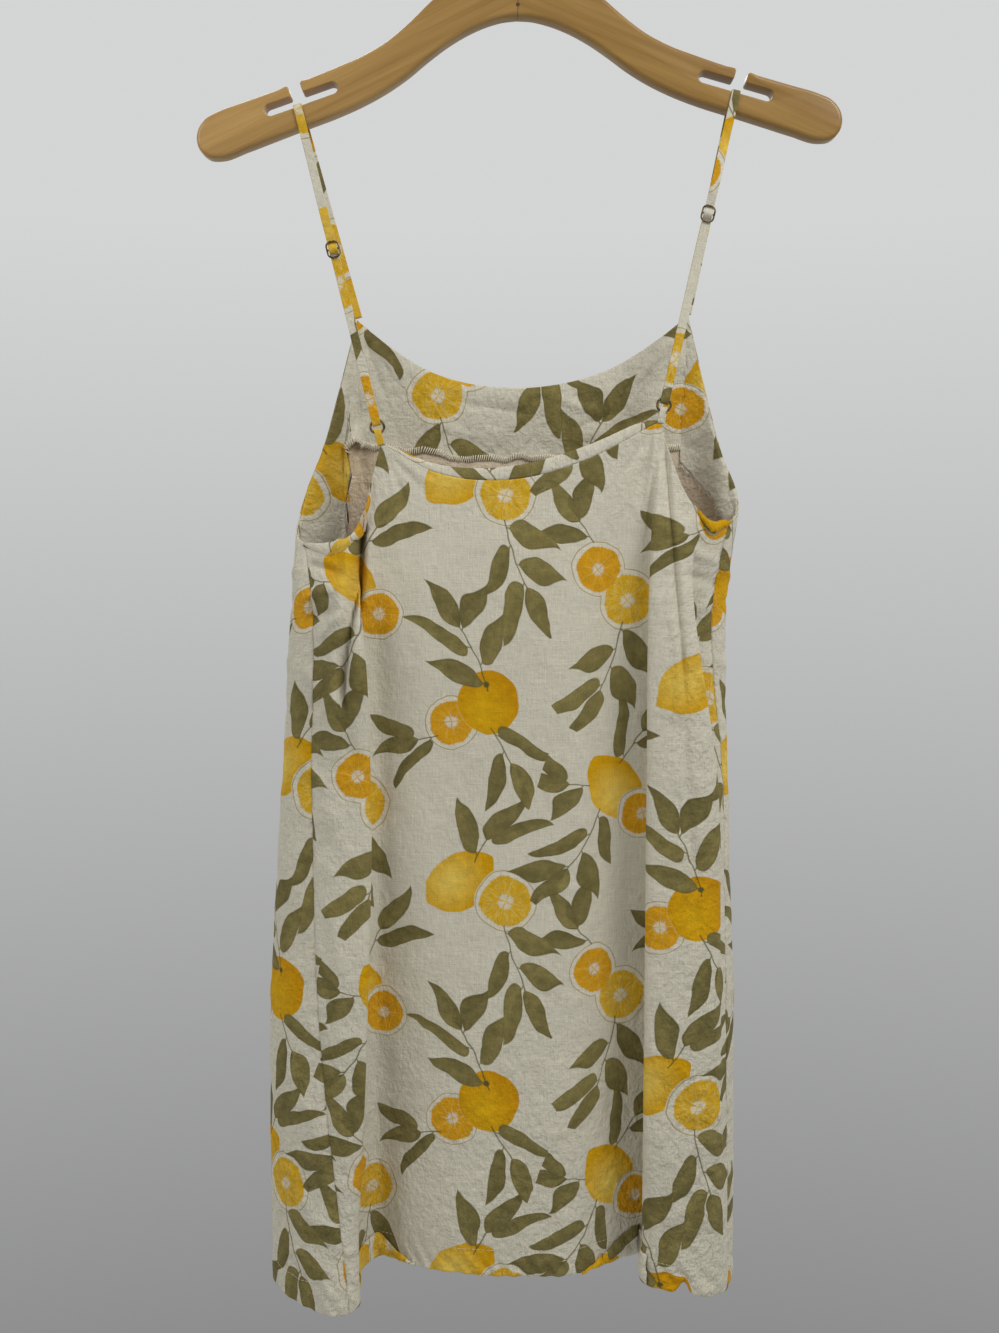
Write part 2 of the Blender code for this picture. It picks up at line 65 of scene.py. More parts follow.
# The view: the image's long side and focal length in pixels, place in metres, tilt from straight down
IMAGE_LONG = 1333
FOCAL_PIXELS = 1358
CAMERA_PLACE = (-0.0088, -0.970, -0.475)
CAMERA_TILT = math.radians(85)

# Floor: height of its top, thickness, radius, and where its middle is along Y
FLOOR_TOP = -1750.0
FLOOR_THICK = 40.0
FLOOR_REACH = 1850.0
FLOOR_MIDDLE = -750.0

# Soft lights: name, place in metres, turn in degrees, width in metres, power in watts
LAMPS = (
    ("overhead", (1.0, -0.95, 0.65), (44, 0, 46), 0.8, 17.0),
    ("side_fill", (-1.6, -1.2, 0.5), (62, 0, -53), 1.0, 12.5),
    ("rear", (-0.3, 2.0, 1.35), (-48, 0, 0), 1.6, 19.0),
)

# Wood's grain, in metres: where the mitre is, its pin below the crown, and the arms' lean
MITRE_X = 0.0037
MITRE_PIN = 0.1055
GRAIN_LEAN = math.radians(24)

# Driving sizes, in millimetres
STRAP_CLOTH = 1.0
LAY_GAP = 0.3
HANGER_TILT = math.radians(1.65)
WIRE = 3.6
RING_RADIUS = 4.7
RING_WIRE = 0.85
SLIDER_WIDE = 9.8
SLIDER_TALL = 12.0
SLIDER_WIRE = 0.62
SLIDER_THICK = 1.2
BUST_Z = -500.0
WAIST_Z = -640.0
HIP_Z = -800.0
COLUMN_STEP = 2.0
BACK_ROWS = 190
FRONT_ROWS = 146
HEM_DEEP = 20.0
HEM_ROWS = 11
HEM_GAP = 0.85
STRAP_WALL = 0.35
LOOP_WIDTH = 5.0

# Sewing: radii of the threads, and depth, length and spacing of their stitches
STITCH_THREAD = 0.12
OVERLOCK_THREAD = 0.42
OVERLOCK_DEEP = 4.0
OVERLOCK_STEP = 1.6
FRINGE_THREAD = 0.17
FRINGE_LONG = 2.3
FRINGE_STEP = 0.5

# One row for each fold line of the cloth, once round the dress: left seam, back, right seam, front
FOLD_COLUMNS = ("name", "corner", "facing", "top", "bust", "waist", "hip", "hem")
FOLDS = (
    ("seam_left", False, 30, (-146, -9, -472), (-141, -22), (-140, -32), (-136, -42), (-114, -58, -1010)),
    ("flap_left", False, 0, (-131, -16, -474), (-124, -34), (-119, -42), (-118, -50), (-108, -52, -1008)),
    ("crest_left", False, 0, (-114, -24, -470), (-107, -38), (-98, -43), (-101, -50), (-112, -38, -1004)),
    ("under_left", False, 0, (-103, -23, -452), (-108, -29), (-103, -33), (-107, -38), (-111, -22, -1000)),
    ("recess_left", False, 0, (-97, -19, -426), (-97, -23), (-94, -23), (-97, -20), (-98, -7, -996)),
    ("corner_left", True, 0, (-91, -18, -403), (-84, -25), (-82, -25), (-80, -23), (-78, -18, -996)),
    ("back_left", False, 0, (-50, -21, -424), (-45, -28), (-42, -29), (-42, -31), (-38, -33, -995)),
    ("back_middle", False, 0, (0, -23, -428), (0, -30), (0, -31), (0, -33), (0, -36, -995)),
    ("back_right", False, 0, (50, -22, -415), (50, -27), (50, -29), (48, -30), (44, -34, -995)),
    ("valley_right", False, 0, (82, -20, -399), (80, -19), (82, -15), (80, -13), (80, -14, -994)),
    ("under_right", False, 0, (94, -18, -392), (98, -22), (104, -19), (106, -12), (110, -5, -993)),
    ("crest_right", True, 0, (103, -18, -388), (95, -34), (94, -36), (94, -40), (94, -42, -997)),
    ("flap_right", False, 0, (109, -21, -410), (110, -38), (118, -42), (118, -46), (120, -50, -1001)),
    ("edge_right", False, 0, (125, -25, -446), (124, -33), (143, -34), (146, -38), (149, -42, -1005)),
    ("tuck_right", False, 0, (138, -17, -458), (119, -24), (141, -26), (148, -31), (154, -34, -1007)),
    ("seam_right", False, 30, (153, -9, -456), (143, -12), (150, -16), (153, -23), (157, -26, -1008)),
    ("side_right", False, 34, (160, 0, -450), (154, 1), (155, -3), (161, -3), (163, -6, -1004)),
    ("arm_right", False, 50, (147, 9, -400), (148, 14), (149, 14), (153, 15), (155, 15, -1002)),
    ("corner_right", True, 94, (125, 12, -311), (118, 31), (117, 35), (115, 39), (113, 43, -1001)),
    ("pleat_right", False, 77, (103, 13, -328), (103, 24), (102, 27), (104, 28), (104, 30, -1000)),
    ("front_right", False, 58, (72, 14, -347), (82, 15), (78, 16), (76, 17), (76, 18, -999)),
    ("front_middle", False, 50, (8, 16, -361), (8, 27), (6, 29), (2, 31), (-2, 33, -998)),
    ("front_left", False, 58, (-60, 14, -349), (-70, 15), (-72, 16), (-74, 17), (-76, 17, -999)),
    ("pleat_left", False, 75, (-90, 13, -330), (-90, 24), (-96, 27), (-99, 29), (-102, 31, -1001)),
    ("front_corner_left", True, 88, (-110, 12, -314), (-104, 33), (-108, 36), (-112, 41), (-116, 45, -1003)),
    ("arm_left", False, 50, (-133, 9, -399), (-139, 14), (-147, 14), (-156, 14), (-158, 14, -1005)),
    ("side_left", False, 34, (-151, 4, -452), (-155, 0), (-164, -4), (-174, -6), (-175, -10, -1007)),
    ("wrap_left", False, 30, (-152, -3, -466), (-152, -13), (-157, -22), (-162, -30), (-150, -43, -1013)),
)
BACK_FROM = "seam_left"
BACK_TO = "seam_right"

# Front facing: x of a column's top, and how deep the facing is there, outside each front corner
FACING_LEFT = ((-151, 36), (-142, 57), (-134, 80), (-128, 99), (-123, 116), (-120.5, 124), (-119.5, 104),
               (-119, 84), (-117.5, 60), (-114, 72), (-110, 90))
# The facing's edge is overlocked where its column's top is between these x, and raw outside them
OVERLOCKED = (-118.5, 125.0)
FACING_RIGHT = ((125, 103), (134, 77), (145, 47), (151, 40), (160, 30))

# Rolled underarms: outward and up from the armhole's edge, once over it
ROLL_OVER = ((-1.0, -10.0), (-1.5, -4.0), (-1.2, 0.4), (0.1, 2.2), (1.9, 2.0), (3.4, 0.2), (3.9, -2.8),
             (3.2, -5.6), (1.8, -7.4), (0.9, -7.6))
# Where the roll runs: first and last fold line, its print's place, and its greatest size
ROLLS = {
    "left": ("seam_left", "recess_left", (57.0, -109.0), 0.95),
    "right": ("edge_right", "seam_right", (-22.0, -26.0), 0.6),
}

# Back hem flipped up in the two valleys: x where it is highest, x where it ends, height, its print's place
HEM_FLIPS = ((-114.0, -68.0, 19.0, (153.0, 996.0)), (97.0, 50.0, 20.0, (-14.0, 1020.0)))

# Back facing: how far each of its rows is above the neckline (share of its rise), below it and behind it
ROLL_RISE = 9.5
ROLL_ROWS = (
    (0.0, 0.6, 0.2), (0.2, 0.2, -0.25), (0.5, 0.0, -0.1), (0.75, 0.0, 0.35), (0.9, 0.0, 1.0),
    (1.0, 0.0, 2.0), (1.0, 0.25, 3.0), (0.92, 0.7, 3.8), (0.6, 2.5, 4.3), (0.2, 8.0, 4.4), (0.1, 16.0, 4.5),
    (0.0, 24.0, 4.6),
)

# Creases of the back: start x z, end x z, half width, depth (ridges above 0, troughs below)
BACK_CREASES = (
    (-88, -409, -70, -452, 2.0, -0.9), (-85, -410, -58, -440, 2.2, -0.7), (-89, -412, -80, -470, 2.0, -0.8),
    (-87, -411, -76, -500, 2.6, 0.7), (-84, -411, -50, -433, 2.0, 0.5), (102, -392, 96, -450, 2.0, -1.1),
    (99, -393, 84, -446, 2.2, -1.0), (96, -395, 68, -436, 2.4, -0.7), (106, -396, 112, -500, 1.9, -3.4),
    (111, -480, 121, -600, 2.4, -3.0), (117, -580, 131, -760, 3.0, -1.6), (104, -394, 105, -480, 2.2, -1.2),
    (100, -395, 90, -470, 2.2, 0.9), (107, -400, 112, -500, 2.6, 1.0), (70, -470, 62, -640, 7.0, -0.8),
    (52, -520, 46, -760, 9.0, 0.5), (20, -470, 26, -620, 8.0, 0.4), (-60, -470, -66, -610, 7.0, 0.6),
    (-30, -600, -36, -800, 9.0, -0.4), (58, -760, 60, -930, 8.0, -0.7),
    (-104, -456, -109, -526, 3.2, -11.0), (-107, -500, -118, -590, 2.8, -7.0),
    (-112, -476, -122, -530, 3.2, 2.4), (-133, -538, -106, -507, 3.2, 3.4),
    (-146, -511, -116, -500, 3.0, 3.4), (-146, -524, -112, -516, 3.2, -3.2),
    (-142, -486, -112, -494, 3.0, -3.4), (-126, -560, -112, -606, 3.6, 2.6),
    (-118, -540, -110, -640, 4.2, -2.6), (-147, -556, -116, -590, 4.0, 1.9),
    (-144, -590, -118, -566, 4.0, -1.9), (-150, -620, -122, -648, 4.6, 1.3),
    (-136, -640, -108, -700, 5.0, 1.1), (-150, -700, -126, -676, 4.4, -1.1),
    (-128, -720, -112, -790, 5.0, 1.1), (124, -478, 148, -486, 2.8, 1.8), (120, -494, 150, -502, 3.0, -1.8),
    (126, -520, 148, -512, 3.0, 1.6), (112, -520, 118, -600, 3.4, 1.4), (128, -560, 146, -590, 3.6, 1.3),
    (110, -640, 132, -700, 5.0, -1.0), (-12, -830, 26, -880, 4.0, 0.5), (-40, -870, 10, -915, 4.0, -0.5),
    (20, -900, 58, -872, 4.0, 0.5), (-58, -905, -30, -960, 3.6, 0.6), (14, -930, 44, -962, 3.4, 0.6),
    (-10, -920, -34, -966, 3.2, -0.6), (100, -880, 122, -930, 4.0, 0.7), (138, -900, 112, -958, 3.8, 0.7),
    (104, -960, 136, -940, 3.6, -0.7), (-148, -860, -120, -910, 4.4, 0.8),
    (-140, -940, -118, -880, 4.0, -0.7), (-150, -930, -122, -968, 4.0, 0.8),
)

# The same for the front, seen from the front as x z, and the sides as y z
FRONT_CREASES = (
    (-106, -322, -86, -380, 2.4, 0.9), (-104, -322, -70, -366, 2.4, -0.8),
    (-108, -330, -104, -420, 2.6, -0.8), (120, -320, 98, -380, 2.4, 0.9), (118, -322, 84, -362, 2.4, -0.8),
    (122, -330, 116, -420, 2.6, -0.8), (-40, -372, 20, -380, 3.0, 0.7), (24, -366, 78, -384, 3.0, -0.7),
    (-70, -384, -20, -396, 3.0, -0.6), (40, -392, 92, -372, 3.0, 0.7), (-60, -470, -64, -640, 8.0, 0.7),
    (60, -480, 64, -640, 8.0, -0.7), (14, -520, 10, -760, 9.0, 0.5), (-132, -520, -108, -560, 4.0, 0.9),
    (134, -510, 108, -552, 4.0, 0.9), (-30, -820, 20, -870, 4.4, 0.6), (40, -840, 4, -900, 4.4, -0.6),
    (-80, -880, -46, -940, 4.4, 0.7), (84, -870, 56, -930, 4.4, 0.7), (-10, -920, 30, -962, 3.8, 0.7),
    (-130, -840, -104, -900, 4.6, 0.8), (130, -850, 106, -910, 4.6, -0.8),
)
SIDE_CREASES = (
    (-14, -488, 8, -500, 3.0, 1.2), (-16, -520, 10, -508, 3.2, -1.1), (-20, -548, 8, -566, 3.6, 1.0),
    (-24, -600, 6, -580, 4.0, -0.8), (-20, -640, 8, -668, 4.6, 0.8), (-26, -720, 8, -700, 4.6, -0.7),
    (-24, -780, 6, -812, 5.0, 0.8), (-30, -870, 8, -850, 4.6, -0.7), (-28, -920, 6, -950, 4.2, 0.9),
)

# Half outline of the hanger before it is tilted, right half, x and z
HANGER_TOP = (
    (0, -72), (10, -72.8), (20, -75.5), (30, -80), (42, -88), (58.8, -101.5), (75.4, -116.2), (89, -126.5),
    (104, -134.7), (124, -142.6), (152.5, -152.2), (188.2, -163.8), (206.7, -169.7),
)
HANGER_END = ((215.5, -174), (221, -180.5), (222.8, -188), (221, -195), (215.2, -200.2), (207.2, -200.9))
HANGER_UNDER = (
    (188.7, -195.3), (170.1, -189), (149, -181.8), (123.9, -173.4), (105.5, -165.9), (89.2, -157.6),
    (75.6, -149), (62, -138.7), (48.4, -129.3), (34.9, -121.8), (21.3, -116.3), (10, -113.4), (0, -112.5),
)
SLOT_MIDDLE = (149.5, -163.6)
SLOT_SLOPE = math.radians(17.3)
SLOT_LONG = 53.0
SLOT_HIGH = 8.0
SLOT_MOUTH = 8.5
SLOT_MOUTH_SHIFT = 1.5
SLOT_DEEP = 11.3
SLOT_LIP = 1.2
HOOK_STEM = ((0, -88), (0, -80), (0, -70), (0, -58), (1.2, -50), (6, -42.5), (13, -36.5), (18.4, -29))
HOOK_RADIUS = 20.8
CROWN_MIDDLE_Z = WIRE / 2 - HOOK_RADIUS
HOOK_TIP = math.radians(206)
SEAT_LIFT = 0.8

# Each strap: x of its seat on the slot, y and z of its slider, middle of its ring, its front end and back
# corner, and its print: x, y and turn in degrees
STRAPS = {
    "left": {
        "seat_x": -148.0, "slider": (-12.0, -270.0), "ring": (-93.5, -18.0, -391.5),
        "front": (-109.0, 10.6, -313.2), "back": (-91.0, -18.0, -402.6), "print": (-220.0, 299.0, 53.0),
    },
    "right": {
        "seat_x": 154.0, "slider": (-12.0, -246.0), "ring": (105.0, -18.0, -376.5),
        "front": (124.0, 10.6, -310.2), "back": (103.0, -18.0, -387.6), "print": (98.0, 128.0, 0.0),
    },
}

# Print, in millimetres: leaves up a stem (spacing, angle, least and added length, least and added width)
LEAF_SPACING = 27.0
LEAF_SPLAY = math.radians(46)
LEAF_LONG = 35.0
LEAF_GROW = 12.0
LEAF_WIDE = 27.5
LEAF_WIDEN = 6.0
TIP_LONG = 40.0
TIP_WIDE = 30.0
# Half length and height of an orange, and what a lemon adds to the first and takes from the second
ORANGE_LONG = 22.2
ORANGE_TALL = 21.6
LEMON_LONGER = 6.3
LEMON_LOWER = 2.2
# Cut fruit: radii of its paint, its outline, its flesh and its core
CUT_RADIUS = 20.9
OUTLINE_RADIUS = 20.2
FLESH_RADIUS = 17.6
CORE_RADIUS = 8.9
# Middles of the repeat's clusters
CLUSTERS = {"branch": (0, 0), "pair": (0, 142.5), "halves": (95, 71), "lone": (95, -71)}
# Leaf sprigs: cluster, base x y, heading in degrees, stem length, size
SPRIGS = (
    ("branch", 2.4, 2.9, 108, 43, 1.0), ("branch", 8, -32, 300, 24, 1.0),
    ("pair", -4, 24, 62, 12, 1.05), ("pair", 16, -30, 284, 44, 1.0),
    ("halves", -20, 34, 128, 13, 0.95), ("halves", 4, -30, 258, 45, 1.0),
    ("lone", 8, 20, 56, 24, 1.0), ("lone", -12, -20, 244, 42, 1.0),
    ("branch", -36, -34, 190, 10, 0.9), ("lone", -25, 2, 172, 11, 0.9),
)
# Whole fruit: cluster, x y, heading, 0 orange or 1 lemon, size
WHOLE = (("branch", 4, -10, 97, 0, 1.0), ("pair", -16, 6, 36, 1, 1.0), ("lone", 0, 0, 128, 1, 0.98))
# Cut fruit: cluster, x y, heading, 0 deep or 1 pale flesh, size
HALVES = (("branch", -22, -24, 10, 0, 0.94), ("pair", 16, -8, 70, 1, 1.08),
          ("halves", -14, 12, 130, 0, 0.96),
          ("halves", 8, -10, 40, 1, 1.06), ("lone", 22, -20, 200, 0, 0.9))


def size_property(name, description, default):
    """A length that a user can change."""
    return bpy.props.FloatProperty(name=name, description=description, default=default, unit="LENGTH")


def colour_property(name, description, default):
    """A colour that a user can change."""
    return bpy.props.FloatVectorProperty(
        name=name, description=description, default=default, size=3, subtype="COLOR")


class DressSizes(bpy.types.PropertyGroup):
    """Sizes of the cloth and its print."""

    cloth: size_property("Cloth thickness", "Thickness of the printed cloth", 0.0009)
    strap_width: size_property("Strap width", "Width of each shoulder strap", 0.006)
    repeat_width: size_property("Repeat width", "Width of one printed repeat", 0.190)
    repeat_height: size_property("Repeat height", "Height of one printed repeat", 0.285)
    stitch_length: size_property("Stitch length", "Length of one hem stitch", 0.0028)


class DressColours(bpy.types.PropertyGroup):
    """Colours of the cloth and its print."""

    cream: colour_property("Cloth", "Ground colour of the cloth", (0.64, 0.595, 0.475))
    # Inside: the unprinted side's colour, lightened and warmed with painted light, as if lit through the
    # thin cloth
    inside: colour_property("Inside", "Unprinted side of the cloth", (0.72, 0.60, 0.45))
    leaf: colour_property("Leaf", "Olive of the leaves", (0.206, 0.170, 0.057))
    leaf_dark: colour_property("Leaf edge", "Dark olive of leaf edges and stems", (0.106, 0.087, 0.025))
    orange: colour_property("Orange", "Colour of the whole oranges", (0.61, 0.345, 0.006))
    lemon: colour_property("Lemon", "Colour of the lemons", (0.65, 0.46, 0.085))
    flesh: colour_property("Flesh", "Deep colour of cut fruit", (0.62, 0.30, 0.004))


class HangerSizes(bpy.types.PropertyGroup):
    """Sizes of the wooden hanger."""

    thickness: size_property("Hanger thickness", "Thickness of the wood", 0.014)
    edge: size_property("Edge radius", "Radius of the rounded edges", 0.0028)


# Shader sums

def math_operator(operation, swapped=False):
    """One of Python's operators as a Math node; swapped puts the socket second."""
    def operator(self, *others):
        values = (*others, self) if swapped else (self, *others)
        return self.tree.math(operation, *values)
    return operator


class Wire:
    """A shader socket that can stand in a sum; each operator adds a Math node."""

    def __init__(self, tree, socket):
        self.tree = tree
        self.socket = socket

    __add__ = __radd__ = math_operator("ADD")
    __sub__ = math_operator("SUBTRACT")
    __rsub__ = math_operator("SUBTRACT", swapped=True)
    __mul__ = __rmul__ = math_operator("MULTIPLY")
    __truediv__ = math_operator("DIVIDE")
    __rtruediv__ = math_operator("DIVIDE", swapped=True)
    __pow__ = math_operator("POWER")
    __abs__ = math_operator("ABSOLUTE")
    __gt__ = math_operator("GREATER_THAN")
    __lt__ = math_operator("LESS_THAN")


class Tree:
    """The nodes of one material, or of the studio's walls."""

    def __init__(self, name, kind="materials", shader="Principled BSDF"):
        self.material = getattr(bpy.data, kind).new(name)
        self.material.use_nodes = True
        self.nodes = self.material.node_tree.nodes
        self.links = self.material.node_tree.links
        self.shader = self.nodes[shader]

    def node(self, kind, settings=None, inputs=None, output=0):
        """Adds a node: its settings first, then the value or link of each of its sockets."""
        made = self.nodes.new("ShaderNode" + kind)
        for name, value in (settings or {}).items():
            setattr(made, name, value)
        for key, value in (inputs or {}).items():
            if isinstance(value, Wire):
                self.links.new(value.socket, made.inputs[key])
            else:
                made.inputs[key].default_value = value
        return Wire(self, made.outputs[output])

    def math(self, operation, *values):
        return self.node("Math", {"operation": operation}, dict(enumerate(values)))

    def vector(self, operation, *values, output=0):
        return self.node("VectorMath", {"operation": operation}, dict(enumerate(values)), output)

    def length(self, value):
        return self.vector("LENGTH", value, output="Value")

    def join(self, x, y, z=0.0):
        return self.node("CombineXYZ", None, {"X": x, "Y": y, "Z": z})

    def split(self, value):
        made = self.node("SeparateXYZ", None, {"Vector": value})
        return [Wire(self, made.socket.node.outputs[axis]) for axis in "XYZ"]

    def soft(self, value, low, high):
        """0 below low, 1 above high, straight between."""
        return self.node("MapRange", {"clamp": True}, {"Value": value, "From Min": low, "From Max": high})

    def colour(self, factor, first, second):
        inputs = {0: factor, 6: _rgba(first), 7: _rgba(second)}
        return self.node("Mix", {"data_type": "RGBA"}, inputs, 2)

    def tint(self, base, amount):
        """A colour times a number."""
        return self.node("Mix", {"data_type": "RGBA", "blend_type": "MULTIPLY"},
                         {0: 1.0, 6: _rgba(base), 7: self.join(amount, amount, amount)}, 2)

    def choose(self, factor, first, second):
        return self.node("Mix", {"data_type": "VECTOR"}, {0: factor, 4: first, 5: second}, 1)

    def noise(self, where, scale, detail=2.0, roughness=0.5, output=0):
        return self.node("TexNoise", {"noise_dimensions": "3D"},
                         {"Vector": where, "Scale": scale, "Detail": detail, "Roughness": roughness}, output)

    def stretched(self, where, scale, detail, roughness):
        """Noise drawn out by a scale of its own along each axis."""
        return self.noise(self.vector("MULTIPLY", where, scale), 1.0, detail, roughness)

    def place(self, kind="Object"):
        return self.node("TexCoord", None, None, kind)

    def bump(self, height, strength, distance, under=None):
        inputs = {"Height": height, "Strength": strength, "Distance": distance}
        if under is not None:
            inputs["Normal"] = under
        return self.node("Bump", None, inputs)

    def finish(self, colour, roughness, normal=None, **fixed):
        """Feeds the shader; fixed values are set on its own sockets."""
        for name, value in (("Base Color", colour), ("Roughness", roughness), ("Normal", normal)):
            if isinstance(value, Wire):
                self.links.new(value.socket, self.shader.inputs[name])
            elif value is not None:
                self.shader.inputs[name].default_value = value
        for name, value in fixed.items():
            self.shader.inputs[name.replace("_", " ")].default_value = value
        return self.material


def _rgba(value):
    """A link as it is, or a colour with its alpha."""
    return value if isinstance(value, Wire) else (*value[:3], 1.0)


# Print

def cluster_places(tree, flat, width, height):
    """Distance from each cluster's middle, on a repeat whose columns drop by half its height."""
    drop = height / 2 / width
    x, y, _ = tree.split(flat)
    lattice = tree.join(x, y - x * drop)
    places = {}
    for name, (cx, cy) in CLUSTERS.items():
        from_middle = tree.vector("SUBTRACT", lattice, (cx, cy - cx * drop, 0.0))
        half = (width / 2, height / 2, 1.0)
        inside = tree.vector("WRAP", from_middle, half, tuple(-side for side in half))
        across, down, _ = tree.split(inside)
        places[name] = tree.join(across, down + across * drop)
    return places


def nearest(tree, places, rows, measure):
    """Local coordinates of whichever motif is nearest; a motif's own number goes in z."""
    best = chosen = None
    for row in rows:
        cluster, x, y, heading, number, size = row
        local = tree.node("Mapping", {"vector_type": "TEXTURE"}, {
            "Vector": places[cluster], "Location": (x, y, -number),
            "Rotation": (0.0, 0.0, math.radians(heading)), "Scale": (size, size, 1.0)})
        distance = measure(local, row)
        if best is None:
            best, chosen = distance, local
        else:
            chosen = tree.choose(distance < best, chosen, local)
            best = tree.math("MINIMUM", best, distance)
    return tree.split(chosen)


def leaf_marks(tree, places, sprigs):
    """Leaves in pairs up a bent stem, each in a cell of a sheared grid, and one leaf at its tip."""
    def measure(local, row):
        stem = row[4]
        scale = (1 / (stem / 2 + 30), 1 / 40, 0.0)
        shift = (-(stem / 2 + 6) / (stem / 2 + 30), 0.0, 0.0)
        return tree.length(tree.vector("MULTIPLY_ADD", local, scale, shift))

    up, across, stem = nearest(tree, places, sprigs, measure)
    bend = tree.math("SINE", stem * 1.7) * 0.0035
    across = across + bend * up * up
    side = across > 0.0
    out = abs(across)
    sheared = (up + side * (LEAF_SPACING / 2) - out * (1 / math.tan(LEAF_SPLAY))) / LEAF_SPACING
    cell = tree.math("FLOOR", sheared)
    own = tree.join(cell, side, stem)
    luck = tree.node("TexWhiteNoise", {"noise_dimensions": "3D"}, {"Vector": own}, "Color")
    turn, grow, curl = tree.split(luck)
    along = out * (1 / math.sin(LEAF_SPLAY))
    off = (sheared - cell - 0.5) * (LEAF_SPACING * math.sin(LEAF_SPLAY)) + (turn - 0.5) * 0.24 * along
    share = tree.math("MAXIMUM", (along - 2.5) / (grow * LEAF_GROW + LEAF_LONG), 0.0)
    body = 1.0 - share
    off = off + share * body * ((curl - 0.5) * 13.0 + (share - 0.5) * (turn - 0.5) * 80.0)
    half_wide = share ** 0.8 * body * (1.0 - share * 0.45) * (curl * LEAF_WIDEN + LEAF_WIDE)
    real = (cell > -0.5) * (cell < stem / LEAF_SPACING - 0.2)
    leaf = (half_wide - abs(off)) * real - (1.0 - real) * 5.0
    tip_share = tree.math("MAXIMUM", (up - stem) / TIP_LONG, 0.0)
    tip_body = 1.0 - tip_share
    tip_off = across + tip_share * tip_body * (tip_share - 0.4) * 30.0
    tip_wide = tip_share ** 0.8 * tip_body * (1.0 - tip_share * 0.45) * TIP_WIDE
    tip = tip_wide - abs(tip_off) - (up < stem)
    stalk = tree.math("MINIMUM", 0.45 - abs(off), 4.5 - along) * real - (1.0 - real)
    stem_line = tree.math("MINIMUM", tree.math("MINIMUM", 0.5 - out, up + 5.0), stem + 3.0 - up)
    inner = tree.math("MAXIMUM", leaf, tip)
    line = tree.math("MAXIMUM", stalk, stem_line)
    half_tone = tree.soft(off, -1.2, 1.2)
    return inner, line, half_tone, curl


def fruit_distance(local, row):
    """Distance from a fruit's middle, which has its own number in z."""
    return local.tree.vector("DISTANCE", local, (0.0, 0.0, float(row[4])), output="Value")


def whole_marks(tree, places):
    """Round oranges, and lemons whose outline runs to a point at each end."""
    a, b, lemon = nearest(tree, places, WHOLE, fruit_distance)
    long = abs(a) / (lemon * LEMON_LONGER + ORANGE_LONG)
    body = tree.math("MAXIMUM", 1.0 - long ** (lemon * 0.3 + 2.0), 0.0)
    tall = body ** (lemon * 0.27 + 0.5) * (lemon * -LEMON_LOWER + ORANGE_TALL)
    inside = tall - abs(b) - (long > 1.0) * 4.0
    shine = tree.length(tree.join(a / 24.0 + 0.25, b / 20.0 - 0.2))
    calyx = tree.length(tree.join(a - 13.0, b))
    return inside, lemon, shine, calyx


def half_marks(tree, places):
    """Cut halves: flesh with fine rays and pale walls, a ring of pith, a thin outline and a blotchy core."""
    a, b, pale = nearest(tree, places, HALVES, fruit_distance)
    radius = tree.length(tree.join(a, b))
    angle = tree.math("ARCTAN2", b, a)
    turn = angle * (9 / (2 * math.pi))
    wall = abs(turn - tree.math("FLOOR", turn) - 0.5)
    rays = tree.noise(tree.join(angle * 7.0, radius * 0.16, pale * 9.0), 1.6, 3.0, 0.65)
    gap = tree.math("MINIMUM", abs(a), abs(b))
    return radius, pale, wall, rays, gap


